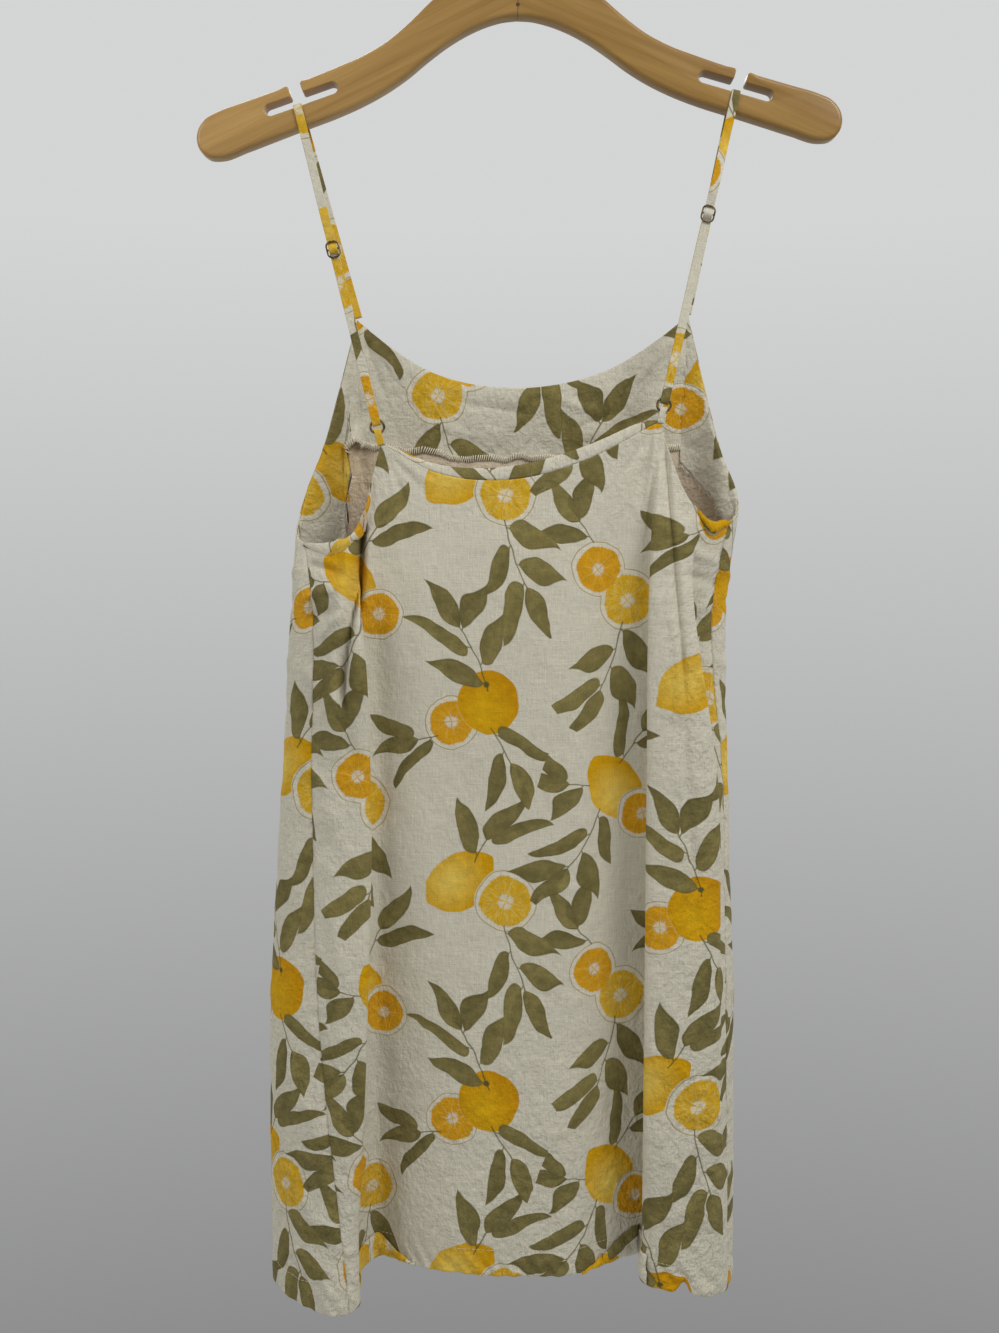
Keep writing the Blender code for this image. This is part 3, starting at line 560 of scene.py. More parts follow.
def print_colour(tree, flat, ground, thread, sizes, colours):
    """The citrus and leaf print over the ground colour, in flat millimetres of cloth."""
    wobble = tree.noise(flat, 0.06, 1.5, 0.4, "Color")
    drawn = tree.vector("MULTIPLY_ADD", wobble, (5.0, 5.0, 0.0), flat)
    wash = tree.noise(flat, 0.14, 4.0, 0.62)
    grain = tree.noise(flat, 1.1, 2.0, 0.6)
    places = cluster_places(tree, drawn, sizes.repeat_width / MM, sizes.repeat_height / MM)
    tone = wash * 0.60 + grain * 0.35 + thread * 0.26 + 0.13

    whole, lemon, shine, calyx = whole_marks(tree, places)
    radius, pale, wall, rays, gap = half_marks(tree, places)

    shade = tree.soft(shine, 0.15, 1.15)
    lemon_colour = tree.colour(shade, [1.14 * c for c in colours.lemon], (0.60, 0.32, 0.004))
    orange_colour = tree.colour(shade, [1.08 * c for c in colours.orange], (0.55, 0.265, 0.003))
    fruit = tree.tint(tree.colour(lemon, orange_colour, lemon_colour), tone)
    in_fruit = tree.soft(whole, -0.35, 0.45)
    paint = tree.colour(in_fruit * lemon, ground, fruit)

    pith = tree.tint(ground, tone * 0.12 + 0.93)
    outline = tree.soft(0.4 - abs(radius - OUTLINE_RADIUS + wash), -0.2, 0.25) * 0.75
    cut = tree.colour(outline, pith, (0.33, 0.235, 0.07))
    deep = tree.colour(pale, colours.flesh, (0.62, 0.36, 0.012))
    flesh = tree.colour(tree.soft(rays, 0.46, 0.64) * (pale * 0.42 + 0.22), deep, (0.68, 0.50, 0.14))
    spoke = tree.soft(wall - 0.5 + 0.9 / (radius + 3.0), 0.0, 0.05) * tree.soft(radius, 17.0, 6.0)
    flesh = tree.colour(spoke * 0.45, flesh, (0.66, 0.52, 0.22))
    flesh = tree.tint(flesh, tone)
    ragged = radius + rays * 1.6 + wash * 3.0 - 1.6
    cut = tree.colour(tree.soft(ragged, FLESH_RADIUS, FLESH_RADIUS - 1.0), cut, flesh)
    core = tree.soft(radius + rays * 8.0, CORE_RADIUS, CORE_RADIUS - 0.9) * tree.soft(gap + rays, 0.55, 1.15)
    cut = tree.colour(core * 0.9, cut, pith)
    behind = 1.0 - in_fruit * (1.0 - lemon)
    paint = tree.colour(tree.soft(radius, CUT_RADIUS, CUT_RADIUS - 0.5) * behind, paint, cut)

    paint = tree.colour(in_fruit * (1.0 - lemon), paint, fruit)
    paint = tree.colour(tree.soft(calyx, 2.6, 1.4) * in_fruit * (1.0 - lemon), paint, colours.leaf_dark)

    for group in (SPRIGS[0::2], SPRIGS[1::2]):
        leaf, line, half_tone, luck = leaf_marks(tree, places, group)
        edge = tree.soft(leaf, 1.5, 0.2) * 0.4
        green = tree.colour(edge + half_tone * 0.28, colours.leaf, colours.leaf_dark)
        green = tree.tint(green, tone * (luck * 0.3 + wash * 0.5 + 0.6))
        paint = tree.colour(tree.soft(line, -0.25, 0.3) * 0.8, paint, colours.leaf_dark)
        paint = tree.colour(tree.soft(leaf, -0.3, 0.35) * 0.985, paint, green)
    return paint


def cloth_finish(name, sizes, colours, strength, ground):
    """Slubby linen: threads both ways, nap and crinkle, with the print at the given strength."""
    tree = Tree(name)
    metres = tree.node("UVMap", {"uv_map": "flat"})
    flat = tree.vector("SCALE", metres)
    flat.socket.node.inputs["Scale"].default_value = 1 / MM
    warp = tree.stretched(flat, (1.5, 0.07, 1.0), 3.0, 0.6)
    weft = tree.stretched(flat, (0.07, 1.5, 1.0), 3.0, 0.6)
    nap = tree.noise(flat, 1.2, 3.0, 0.75)
    cloudy = tree.noise(flat, 0.03, 2.0, 0.5)
    thread = warp + weft + nap
    slub = tree.soft(tree.math("MAXIMUM", warp, weft), 0.60, 0.72)
    ground_colour = tree.tint(ground, (warp + weft) * 0.46 + nap * 0.72 + slub * 0.07 + cloudy * 0.10 + 0.13)
    ground_colour = tree.colour(tree.soft(nap, 0.50, 0.64) * 0.34, ground_colour, (0.36, 0.36, 0.32))
    printed = print_colour(tree, flat, ground_colour, thread, sizes, colours)
    shown = tree.colour(strength, ground_colour, printed) if strength < 1.0 else printed
    x, _, z = tree.split(tree.place())
    sides = tree.soft(abs(x), 0.085, 0.125) * tree.soft(z, -0.40, -0.47)
    top = tree.soft(z, -0.47, -0.42) * tree.soft(z, -0.31, -0.34)
    worn = tree.soft(z, -0.74, -0.95) * 1.2 + top * 0.5 + sides * 0.8
    squat = tree.vector("MULTIPLY", flat, (1.0, 0.7, 1.0))
    folds = abs(tree.noise(squat, 0.09, 3.0, 0.6) - 0.5) * -3.0
    crinkle = tree.noise(squat, 0.16, 4.0, 0.62) + folds
    relief = tree.bump(crinkle * (worn + 0.45), 0.6, 0.0022)
    relief = tree.bump(thread, 0.5, 0.0004, relief)
    return tree.finish(shown, thread * 0.06 + 0.80, relief, Sheen_Weight=0.03, Sheen_Roughness=0.6,
                       Specular_IOR_Level=0.06)


def thread_finish(name, colour):
    """Spun thread: fine slanted light and dark plies."""
    tree = Tree(name)
    where = tree.place()
    ply = tree.noise(tree.vector("SCALE", where), 900.0, 2.0, 0.6)
    spun = tree.tint(colour, ply * 0.5 + 0.75)
    return tree.finish(spun, 0.75, tree.bump(ply, 0.3, 0.0002), Sheen_Weight=0.1)


def wood_finish(name):
    """Lacquered beech with painted shade that darkens it from the left end towards the mitre: grain along
    each arm, short flecks and the glued mitre.
    """
    tree = Tree(name)
    where = tree.place()
    x, _, z = tree.split(where)
    right = x > MITRE_X
    sides = []
    for angle in (GRAIN_LEAN + HANGER_TILT, -GRAIN_LEAN + HANGER_TILT):
        turn = {"Rotation": (0.0, -angle, 0.0), "Location": (0.0, 0.31 * angle, 0.0)}
        sides.append(tree.node("Mapping", {"vector_type": "TEXTURE"}, {"Vector": where, **turn}))
    along = tree.choose(right, *sides)
    bands = tree.stretched(along, (3.0, 60.0, 120.0), 4.0, 0.6)
    fine = tree.stretched(along, (25.0, 700.0, 1500.0), 3.0, 0.7)
    fleck = tree.stretched(along, (260.0, 900.0, 2200.0), 1.0, 0.5)
    colour = tree.colour(tree.soft(bands, 0.32, 0.70), (0.53, 0.325, 0.112), (0.34, 0.186, 0.050))
    # Painted shade: the wood is darkened from the left end to just past the mitre, as where less light falls
    painted_shade_right = tree.soft(x, -0.2, 0.06)
    colour = tree.node("Mix", {"data_type": "RGBA", "blend_type": "MULTIPLY"},
                       {0: painted_shade_right, 6: colour, 7: (0.70, 0.67, 0.52, 1.0)}, 2)
    colour = tree.tint(colour, fine * 0.36 + 0.83)
    colour = tree.colour(tree.soft(fleck, 0.66, 0.74) * 0.35, colour, (0.36, 0.18, 0.07))
    glue = tree.soft(abs(x - MITRE_X), 0.0007, 0.0002) * 0.5
    pin = tree.soft(tree.length(tree.join(x - MITRE_X, z + MITRE_PIN)), 0.0017, 0.0012)
    colour = tree.colour(tree.math("MAXIMUM", glue, pin), colour, (0.10, 0.05, 0.02))
    relief = tree.bump(fine, 0.12, 0.0003)
    return tree.finish(colour, bands * 0.10 + 0.27, relief, Coat_Weight=0.14, Coat_Roughness=0.14,
                       Specular_IOR_Level=0.35)


def metal_finish(name, bright, dark, roughness):
    """Metal with worn bright places and fine scratches."""
    tree = Tree(name)
    where = tree.place()
    worn = tree.noise(where, 420.0, 4.0, 0.6)
    scratch = tree.stretched(where, (3000.0, 400.0, 900.0), 2.0, 0.6)
    colour = tree.colour(tree.soft(worn, 0.40, 0.66), dark, bright)
    return tree.finish(colour, worn * 0.2 + roughness, tree.bump(scratch, 0.1, 0.0001), Metallic=1.0)


def floor_finish(name):
    """Matt pale floor, faintly mottled."""
    tree = Tree(name)
    where = tree.place()
    mottle = tree.noise(where, 1.3, 3.0, 0.5)
    return tree.finish(tree.tint((0.62, 0.63, 0.63), mottle * 0.05 + 0.97), 0.85)


def studio_walls(name):
    """Plain pale walls, lighter overhead than below and on the +Y side than on the other."""
    tree = Tree(name, "worlds", "Background")
    _, back, up = tree.split(tree.place("Generated"))
    colour = tree.colour(tree.soft(up, -0.52, 0.22), (0.262, 0.262, 0.262), (0.655, 0.665, 0.66))
    colour = tree.tint(colour, tree.soft(back, -0.5, 0.3) * 0.42 + 0.58)
    tree.links.new(colour.socket, tree.shader.inputs["Color"])
    tree.shader.inputs["Strength"].default_value = 1.0
    return tree.material


FINISHES = {}


def finish_of(name):
    """Makes each finish once."""
    if name not in FINISHES:
        sizes = bpy.context.scene.dress_sizes
        colours = bpy.context.scene.dress_colours
        makers = {
            "printed": lambda: cloth_finish("printed_linen", sizes, colours, 1.0, colours.cream),
            # The inside's colour carries painted light, as if lit through the cloth
            "plain": lambda: cloth_finish("linen_inside_painted_light", sizes, colours, 0.10, colours.inside),
            "thread": lambda: thread_finish("cotton_thread", (0.74, 0.67, 0.51)),
            "raw_thread": lambda: thread_finish("raw_thread", (0.90, 0.85, 0.74)),
            "wood": lambda: wood_finish("lacquered_beech"),
            "steel": lambda: metal_finish("bright_steel", (0.66, 0.66, 0.64), (0.50, 0.50, 0.49), 0.18),
            "brass": lambda: metal_finish("aged_brass", (0.34, 0.25, 0.13), (0.085, 0.065, 0.04), 0.30),
            "floor": lambda: floor_finish("pale_floor"),
        }
        FINISHES[name] = makers[name]()
    return FINISHES[name]


# Meshes from grids

def unit(vectors):
    """Vectors of length 1."""
    return vectors / np.maximum(np.linalg.norm(vectors, axis=-1, keepdims=True), 1e-12)


def grid_part(points, flat=None, wrap=(False, False), caps=False, flip=False):
    """Four-sided faces over grids of points (..., rows, columns, 3), in millimetres.

    flat gives each point its place on the flat cloth. wrap closes the rows' or the columns'
    direction. caps close the two ends across the rows.
    """
    shape = points.shape[:-1]
    rows, columns = shape[-2:]
    index = np.arange(points.size // 3).reshape(-1, rows, columns)
    if wrap[0]:
        index = np.concatenate([index, index[:, :1]], axis=1)
    if wrap[1]:
        index = np.concatenate([index, index[:, :, :1]], axis=2)
    corners = (slice(None, -1), slice(None, -1)), (slice(None, -1), slice(1, None)), \
        (slice(1, None), slice(1, None)), (slice(1, None), slice(None, -1))
    if flip:
        corners = corners[::-1]
    faces = np.stack([index[:, a, b] for a, b in corners], axis=-1).reshape(-1, 4)
    if flat is None:
        flat = np.zeros((*index.shape[1:], 2))
    flat = np.broadcast_to(flat, (*index.shape, 2))
    places = np.stack([flat[:, a, b] for a, b in corners], axis=-2).reshape(-1, 2)
    ends = []
    if caps:
        first, last = index[:, 0, :columns], index[:, -1, :columns]
        ends = [*(first if flip else first[:, ::-1]).tolist(), *(last[:, ::-1] if flip else last).tolist()]
    return points.reshape(-1, 3), faces, places, ends


def make_mesh(name, *parts):
    """One mesh of several grid parts, with the UV map "flat"."""
    mesh = bpy.data.meshes.new(name)
    vertices, faces, places, start = [], [], [], 0
    ends = []
    for points, quads, flat, caps in parts:
        vertices.append(points)
        faces.append(quads + start)
        places.append(flat)
        ends += [[corner + start for corner in cap] for cap in caps]
        start += len(points)
    mesh.from_pydata((np.vstack(vertices) * MM).tolist(), [], np.vstack(faces).tolist() + ends)
    layer = mesh.uv_layers.new(name="flat")
    full = np.zeros((len(mesh.loops), 2), np.float32)
    stacked = np.vstack(places)
    full[:len(stacked)] = stacked * MM
    layer.data.foreach_set("uv", full.ravel())
    mesh.update()
    mesh.shade_smooth()
    return mesh


def add_piece(name, mesh, finishes, replaces=(), wall=0.0, offset=0.0):
    """A piece at the origin on the one body; wall gives a single surface its thickness, in metres.

    offset 0 shares the wall between the two sides of the surface, and -1 puts it all inside.
    """
    piece = bpy.data.objects.new(name, mesh)
    for finish in finishes:
        mesh.materials.append(finish_of(finish))
    bpy.context.scene.collection.objects.link(piece)
    if wall:
        shell = piece.modifiers.new("wall", "SOLIDIFY")
        shell.thickness = wall
        shell.offset = offset
        shell.material_offset = len(finishes) - 1
    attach(piece, "root")
    if replaces:
        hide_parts(*replaces)
    return piece


# Curves

def slopes(points, knots, closed):
    """Slope at each knot: the parabola through the knot and its two neighbours."""
    steps = np.diff(knots)
    chords = np.diff(points, axis=0) / steps[:, None]
    both = (steps[:-1] + steps[1:])[:, None]
    middle = (chords[:-1] * steps[1:, None] + chords[1:] * steps[:-1, None]) / both
    if closed:
        first = (chords[-1] * steps[0] + chords[0] * steps[-1]) / (steps[0] + steps[-1])
        return np.vstack([first, middle, first])
    return np.vstack([chords[0], middle, chords[-1]])


def hermite(start, end, slope_start, slope_end, length, t):
    """Cubic between two points with given slopes; t runs from 0 to 1."""
    t2 = t * t
    t3 = t2 * t
    return ((2 * t3 - 3 * t2 + 1) * start + (t3 - 2 * t2 + t) * length * slope_start
            + (3 * t2 - 2 * t3) * end + (t3 - t2) * length * slope_end)


def smooth_path(points, step):
    """Points about `step` apart on a smooth open curve through the given ones."""
    points = np.array(points, float)
    spans = np.linalg.norm(np.diff(points, axis=0), axis=1)
    knots = np.concatenate([[0.0], np.cumsum(spans)])
    tangent = slopes(points, knots, closed=False)
    out = [points[:1]]
    for i, span in enumerate(spans):
        count = max(1, math.ceil(span / step))
        t = (np.arange(1, count + 1) / count)[:, None]
        out.append(hermite(points[i], points[i + 1], tangent[i], tangent[i + 1], span, t))
    return np.vstack(out)


def run_along(path):
    """Distance along a path at each of its points."""
    return np.concatenate([[0.0], np.cumsum(np.linalg.norm(np.diff(path, axis=0), axis=1))])


def tubes(paths, radius, sides, closed=False):
    """Round tubes: each path (tubes, points, 3) carries a circle square to its direction."""
    if closed:
        ahead = np.roll(paths, -1, axis=1) - np.roll(paths, 1, axis=1)
    else:
        ahead = np.gradient(paths, axis=1)
    ahead = unit(ahead)
    spread = np.abs(ahead).sum(axis=1)
    side = np.eye(3)[np.argmin(spread, axis=-1)][:, None, :]
    first = unit(np.cross(ahead, side))
    second = np.cross(ahead, first)
    angle = np.arange(sides) * 2 * math.pi / sides
    ring = first[:, :, None] * np.cos(angle)[:, None] + second[:, :, None] * np.sin(angle)[:, None]
    points = paths[:, :, None] + radius * ring
    return grid_part(points, wrap=(closed, True), caps=not closed)


def carried(path, wide_line, profile, flat_start):
    """A closed profile (across, out) carried along a path: across lies along wide_line, out square to both.

    flat_start is the print's place at the path's first point, and how far it is turned, in degrees.
    """
    ahead = unit(np.gradient(path, axis=0))
    wide = np.broadcast_to(wide_line, path.shape)
    wide = unit(wide - ahead * np.sum(wide * ahead, axis=1, keepdims=True))
    out = np.cross(ahead, wide)
    points = path[:, None] + profile[:, 0, None] * wide[:, None] + profile[:, 1, None] * out[:, None]
    across = run_along(np.vstack([profile, profile[:1]]))[None, :, None]
    x, y, turn = flat_start
    cos, sin = math.cos(math.radians(turn)), math.sin(math.radians(turn))
    down = run_along(path)[:, None, None]
    flat = np.array([x, y]) + across * np.array([cos, sin]) + down * np.array([sin, -cos])
    return grid_part(points, flat, wrap=(False, True), caps=True)


def strap_profile(width, thickness, soft_edge=0.42):
    """Flat band with rounded, slightly swollen edges, as (across, out), anticlockwise."""
    angle = np.arange(24) * 2 * math.pi / 24
    across = np.sign(np.cos(angle)) * np.abs(np.cos(angle)) ** soft_edge * width / 2
    swell = 1.0 + 0.25 * np.abs(across / (width / 2)) ** 4
    out = np.sign(np.sin(angle)) * np.abs(np.sin(angle)) ** 0.6 * thickness / 2 * swell
    return np.stack([across, out], axis=1)


# The cloth's form

def column(name):
    """One column of the fold lines' table."""
    return [row[FOLD_COLUMNS.index(name)] for row in FOLDS]


def ring_spline(points, faces, corners):
    """Closed smooth curve through the fold points; a corner takes the chord's direction on each side."""
    loop = np.vstack([points, points[:1]])
    spans = np.linalg.norm(np.diff(loop, axis=0), axis=1)
    knots = np.concatenate([[0.0], np.cumsum(spans)])
    leave = slopes(loop, knots, closed=True)
    arrive = leave.copy()
    chords = np.diff(loop, axis=0) / spans[:, None]
    for i in np.flatnonzero(corners):
        leave[i] = chords[i]
        arrive[i] = chords[i - 1]
    out = []
    for i, count in enumerate(faces):
        t = (np.arange(count) / count)[:, None]
        out.append(hermite(loop[i], loop[i + 1], leave[i], arrive[i + 1], spans[i], t))
    return np.vstack(out)


def fold_faces():
    """Faces between each fold line and the next, about COLUMN_STEP wide at the hip."""
    hip = np.array(column("hip"), float)
    spans = np.linalg.norm(np.roll(hip, -1, axis=0) - hip, axis=1)
    return [max(6, round(span / COLUMN_STEP)) for span in spans]


def cloth_columns():
    """Each vertical line of the cloth: its top, bust, waist, hip and hem points, and its facing depth."""
    faces = fold_faces()
    none = np.zeros(len(FOLDS), bool)
    lines = [ring_spline(np.array(column("top"), float), faces, np.array(column("corner")))]
    for level, height in (("bust", BUST_Z), ("waist", WAIST_Z), ("hip", HIP_Z)):
        places = np.array([(x, y, height) for x, y in column(level)], float)
        lines.append(ring_spline(places, faces, none))
    lines.append(ring_spline(np.array(column("hem"), float), faces, none))
    depth = np.array(column("facing") + column("facing")[:1], float)
    at = np.concatenate([i + np.arange(count) / count for i, count in enumerate(faces)])
    return np.stack(lines, axis=1), np.interp(at, np.arange(len(FOLDS) + 1), depth)


def first_column(name):
    """Number of the vertical line at which a fold line stands."""
    return sum(fold_faces()[:column("name").index(name)])


def panel_lines(start, stop):
    """The vertical lines from one seam round to the other."""
    lines, depth = cloth_columns()
    first, last = first_column(start), first_column(stop)
    if last <= first:
        last += len(lines)
    pick = np.arange(first, last + 1) % len(lines)
    return lines[pick], depth[pick]


def down_the_line(lines, z):
    """Points at heights z (columns, rows) on vertical lines, on a cubic through each line's points."""
    knots = -lines[:, :, 2]
    steps = np.diff(knots, axis=1)
    chords = np.diff(lines, axis=1) / steps[:, :, None]
    middle = (chords[:, :-1] * steps[:, 1:, None] + chords[:, 1:] * steps[:, :-1, None]) \
        / (steps[:, :-1] + steps[:, 1:])[:, :, None]
    tangent = np.concatenate([chords[:, :1], middle, chords[:, -1:]], axis=1)
    span = (-z[:, :, None] >= knots[:, None, 1:-1]).sum(axis=2)

    def pick(table, index):
        return np.take_along_axis(table, index[:, :, None], axis=1)

    length = np.take_along_axis(steps, span, axis=1)[:, :, None]
    t = (-z[:, :, None] - pick(knots[:, :, None], span)) / length
    out = hermite(pick(lines, span), pick(lines, span + 1), pick(tangent, span), pick(tangent, span + 1),
                  length, t)
    out[:, :, 2] = z
    return out


def blend_in(value, start, stop):
    """0 at start, 1 at stop, smooth between."""
    t = np.clip((value - start) / (stop - start), 0, 1)
    return t * t * (3 - 2 * t)


def creases(a, b, table):
    """Sum of soft ridges: Gaussian across each line, fading out towards its two ends."""
    total = np.zeros_like(a)
    for a0, b0, a1, b1, width, depth in table:
        run = np.array([a1 - a0, b1 - b0], float)
        long = np.hypot(*run)
        run /= long
        along = ((a - a0) * run[0] + (b - b0) * run[1]) / long
        off = (a - a0) * -run[1] + (b - b0) * run[0]
        fade = blend_in(along, -0.08, 0.2) * blend_in(along, 1.08, 0.6)
        total += depth * fade * np.exp(-(off / width) ** 2)
    return total


def wander(a, b, size, seed):
    """Smooth random heights from -1 to 1: a seeded lattice of the given size, blended by smooth steps."""
    lattice = np.random.default_rng(seed).uniform(-1, 1, (64, 64))
    p, q = a / size, b / size
    i, j = np.floor(p).astype(int), np.floor(q).astype(int)
    s, t = p - i, q - j
    s, t = s * s * (3 - 2 * s), t * t * (3 - 2 * t)
    corner = [lattice[(i + di) % 64, (j + dj) % 64] for di in (0, 1) for dj in (0, 1)]
    low = corner[0] * (1 - t) + corner[1] * t
    high = corner[2] * (1 - t) + corner[3] * t
    return low * (1 - s) + high * s


def crumple(a, b, seed):
    """Linen crumple: sharp ridges where a wandering field crosses zero, at two sizes."""
    broad = 0.5 - np.abs(wander(a + 0.35 * b, b, 26.0, seed))
    fine = 0.5 - np.abs(wander(a - 0.25 * b, b, 11.0, seed + 1))
    return 0.9 * broad + 0.4 * fine


def settle(points):
    """Moves points of cloth by its creases: along Y on the back and front, along X on the sides.

    Each shift depends on the other two directions alone, so layers never pass through each other.
    """
    x, y, z = points[..., 0], points[..., 1], points[..., 2]
    back = 1 - blend_in(y, -12, 4)
    front = blend_in(y, -4, 12)
    low = blend_in(z, -720, -960)
    sides = blend_in(np.abs(x), 96, 132)
    rough = 0.65 + 1.3 * low + 1.2 * sides
    hem = blend_in(z, -976, -988)
    rope = 0.8 * np.sin((x + 0.7 * z) / 1.8 + 2.4 * wander(x, z, 30.0, 5)) * hem
    out = points.copy()
    out[..., 1] += front * (1.5 * creases(x, z, FRONT_CREASES) + rough * crumple(x, z, 11) + rope)
    out[..., 1] -= back * (1.5 * creases(x, z, BACK_CREASES) + rough * crumple(x, z, 21) + rope)
    sideways = creases(y, z, SIDE_CREASES) + 0.6 * crumple(y, z, 31)
    out[..., 0] += np.sign(x) * blend_in(np.abs(x), 125, 150) * sideways
    out[..., 2] += 0.8 * wander(x, y, 17.0, 41) * blend_in(z, -940, -990)
    out[..., 2] += back * 9.0 * np.exp(-((x - 122) / 4.5) ** 2) * blend_in(z, -984, -1003)
    return out


def inward(grid):
    """Unit normals of a grid that runs clockwise seen from above, pointing into the dress."""
    return unit(np.cross(np.gradient(grid, axis=0), np.gradient(grid, axis=1)))


def flat_places(grid, middle, shift=(0.0, 0.0)):
    """Flat cloth coordinates: distance round the dress from the middle column, and height."""
    steps = np.linalg.norm(np.diff(grid[:, :, :2], axis=0), axis=2)
    across = np.concatenate([np.zeros((1, grid.shape[1])), np.cumsum(steps, axis=0)])
    across -= across[middle]
    return np.stack([across + shift[0], grid[:, :, 2] + shift[1]], axis=2)


def panel_heights(lines, rows):
    """Heights (columns, rows): crowded below the top edge, then even through the turned-up hem."""
    top, hem = lines[:, :1, 2], lines[:, -1:, 2]
    fold = hem + HEM_DEEP
    body = top + np.linspace(0, 1, rows + 1) ** 1.2 * (fold - top)
    turn = fold + np.linspace(0, 1, HEM_ROWS + 1)[1:] * (hem - fold)
    return np.concatenate([body, turn], axis=1)


def seam_groove(grid):
    """Draws the first and last columns in a little, so that the side seams show as grooves."""
    run = np.abs(flat_places(grid, 0)[:, :, 0])
    edge = np.minimum(run, run[-1:] - run)
    return grid + inward(grid) * (0.8 * np.exp(-(edge / 1.6) ** 2))[:, :, None]


def turned_hem(grid, flat):
    """Carries the panel round its lower edge and up the inside, by the hem's depth."""
    side = inward(grid)
    side[:, :, 2] = 0
    side = unit(side)
    edge, out = grid[:, -1], side[:, -1]
    rows, places = [], []
    for angle in (0.25, 0.5, 0.75):
        turn = math.pi * angle
        drop = np.array([0, 0, -HEM_GAP * math.sin(turn)])
        rows.append(edge + out * HEM_GAP * (1 - math.cos(turn)) + drop)
        places.append(flat[:, -1] - [0, 1.0 + 2 * angle])
    inside = np.arange(grid.shape[1] - 1, grid.shape[1] - HEM_ROWS - 1, -1)
    up = grid[:, inside] + side[:, inside] * 2 * HEM_GAP
    up_flat = flat[:, inside] * [1, -1] + [0, 2 * float(flat[0, -1, 1]) - 3.0]
    grid = np.concatenate([grid, np.stack(rows, axis=1), up], axis=1)
    return grid, np.concatenate([flat, np.stack(places, axis=1), up_flat], axis=1)


def thin_piece(name, grid, flat, nodes=(), rests_on="back_cloth", cut=None, flip=False,
               finishes=("printed", "plain")):
    """A single layer of thinner cloth; cut, the sheet it was cut from, is not used."""
    mesh = make_mesh(name, grid_part(grid, flat, flip=flip))
    piece = add_piece(name, mesh, finishes, nodes, bpy.context.scene.dress_sizes.cloth * 0.8)


def cloth_panel(name, start, stop, middle, rows, shift, node):
    """A panel from one seam to the other: its lines, settled into their creases, with a turned hem."""
    lines, _ = panel_lines(start, stop)
    plain = down_the_line(lines, panel_heights(lines, rows))
    flat = flat_places(plain, middle, shift)
    grid = seam_groove(settle(plain))
    cut, cut_flat = turned_hem(grid, flat)
    mesh = make_mesh(name, grid_part(cut, cut_flat))
    thickness = bpy.context.scene.dress_sizes.cloth
    piece = add_piece(name, mesh, ("printed", "plain"), (node,), thickness)
    turned_hem(plain, flat)[0]


def front_facing_grid():
    """The front's own points from its top edge down to the facing's depth, moved inwards."""
    lines, depth = panel_lines(BACK_TO, BACK_FROM)
    lines, depth = lines[4:-4], depth[4:-4]
    top_x = lines[:, 0, 0]
    depth = np.where(top_x < -110, np.interp(top_x, *zip(*FACING_LEFT)), depth)
    depth = np.where(top_x > 125, np.interp(top_x, *zip(*FACING_RIGHT)), depth)
    depth = depth + 1.2 * wander(run_along(lines[:, 0]), 0 * depth, 9.0, 61)
    share = np.linspace(0, 1, 42)
    z = lines[:, :1, 2] - share[None, :] * depth[:, None] - 0.2
    plain = down_the_line(lines, z)
    flat = flat_places(plain, len(lines) // 2, (61.0, 140.0))
    grid = settle(plain)
    low = blend_in(share, 0.1, 0.9)
    grid[:, :, 1] += low * (1.6 * crumple(plain[:, :, 0], plain[:, :, 2], 91) + 0.8)
    ease = 1.0 + 0.9 * blend_in(share, 0.0, 0.12)
    grid = grid + inward(grid) * ease[None, :, None]
    flap = np.exp(-((top_x + 115) / 5) ** 2)[:, None] * blend_in(share, 0.70, 1.0)[None, :]
    grid[:, :, 1] -= 6.5 * flap
    grid[:, :, 2] += 2.0 * flap
    curl = np.exp(-((top_x + 120) / 3) ** 2)[:, None] * blend_in(share, 0.35, 0.7)[None, :]
    grid[:, :, 1] -= 4.5 * curl
    grid[:, :, 0] += curl * 4.0 * wander(plain[:, :, 2], 0 * plain[:, :, 2], 8.0, 95)
    return grid, flat, plain


def underarm_roll(side):
    """A C-shaped profile carried along the armhole's lower edge, swelling from its ends to its middle."""
    first, last, place, size = ROLLS[side]
    lines, _ = panel_lines(BACK_FROM, BACK_TO)
    heights = lines[:, :1, 2] - np.array([0.0, 4.0, 8.0])
    grid = settle(down_the_line(lines, heights))
    out = -inward(grid)[:, 0]
    start = first_column(BACK_FROM)
    pick = slice(first_column(first) - start, first_column(last) - start + 1)
    edge, out = grid[pick, 0], unit(out[pick] * [1, 1, 0])
    along = np.linspace(0, 1, len(edge))
    run = run_along(edge)
    swell = size * (0.22 + 0.78 * np.sin(np.pi * np.clip(along, 0.02, 0.98)) ** 0.7)
    swell = swell * (1 + 0.45 * wander(run, 0 * run, 7.0, 71))
    profile = np.array(ROLL_OVER)
    points = edge[:, None] + out[:, None] * (profile[:, 0, None] * swell[:, None, None] + 0.3)
    points[:, :, 2] += profile[:, 1] * swell[:, None]
    points[:, :, 2] += 1.1 * wander(run, 0 * run, 6.0, 73)[:, None]
    flat = np.stack([np.broadcast_to(run[:, None] + place[0], points.shape[:2]),
                     np.broadcast_to(run_along(np.pad(profile, ((0, 0), (0, 1))))[None] + place[1],
                                     points.shape[:2])], axis=2)
    return points, flat


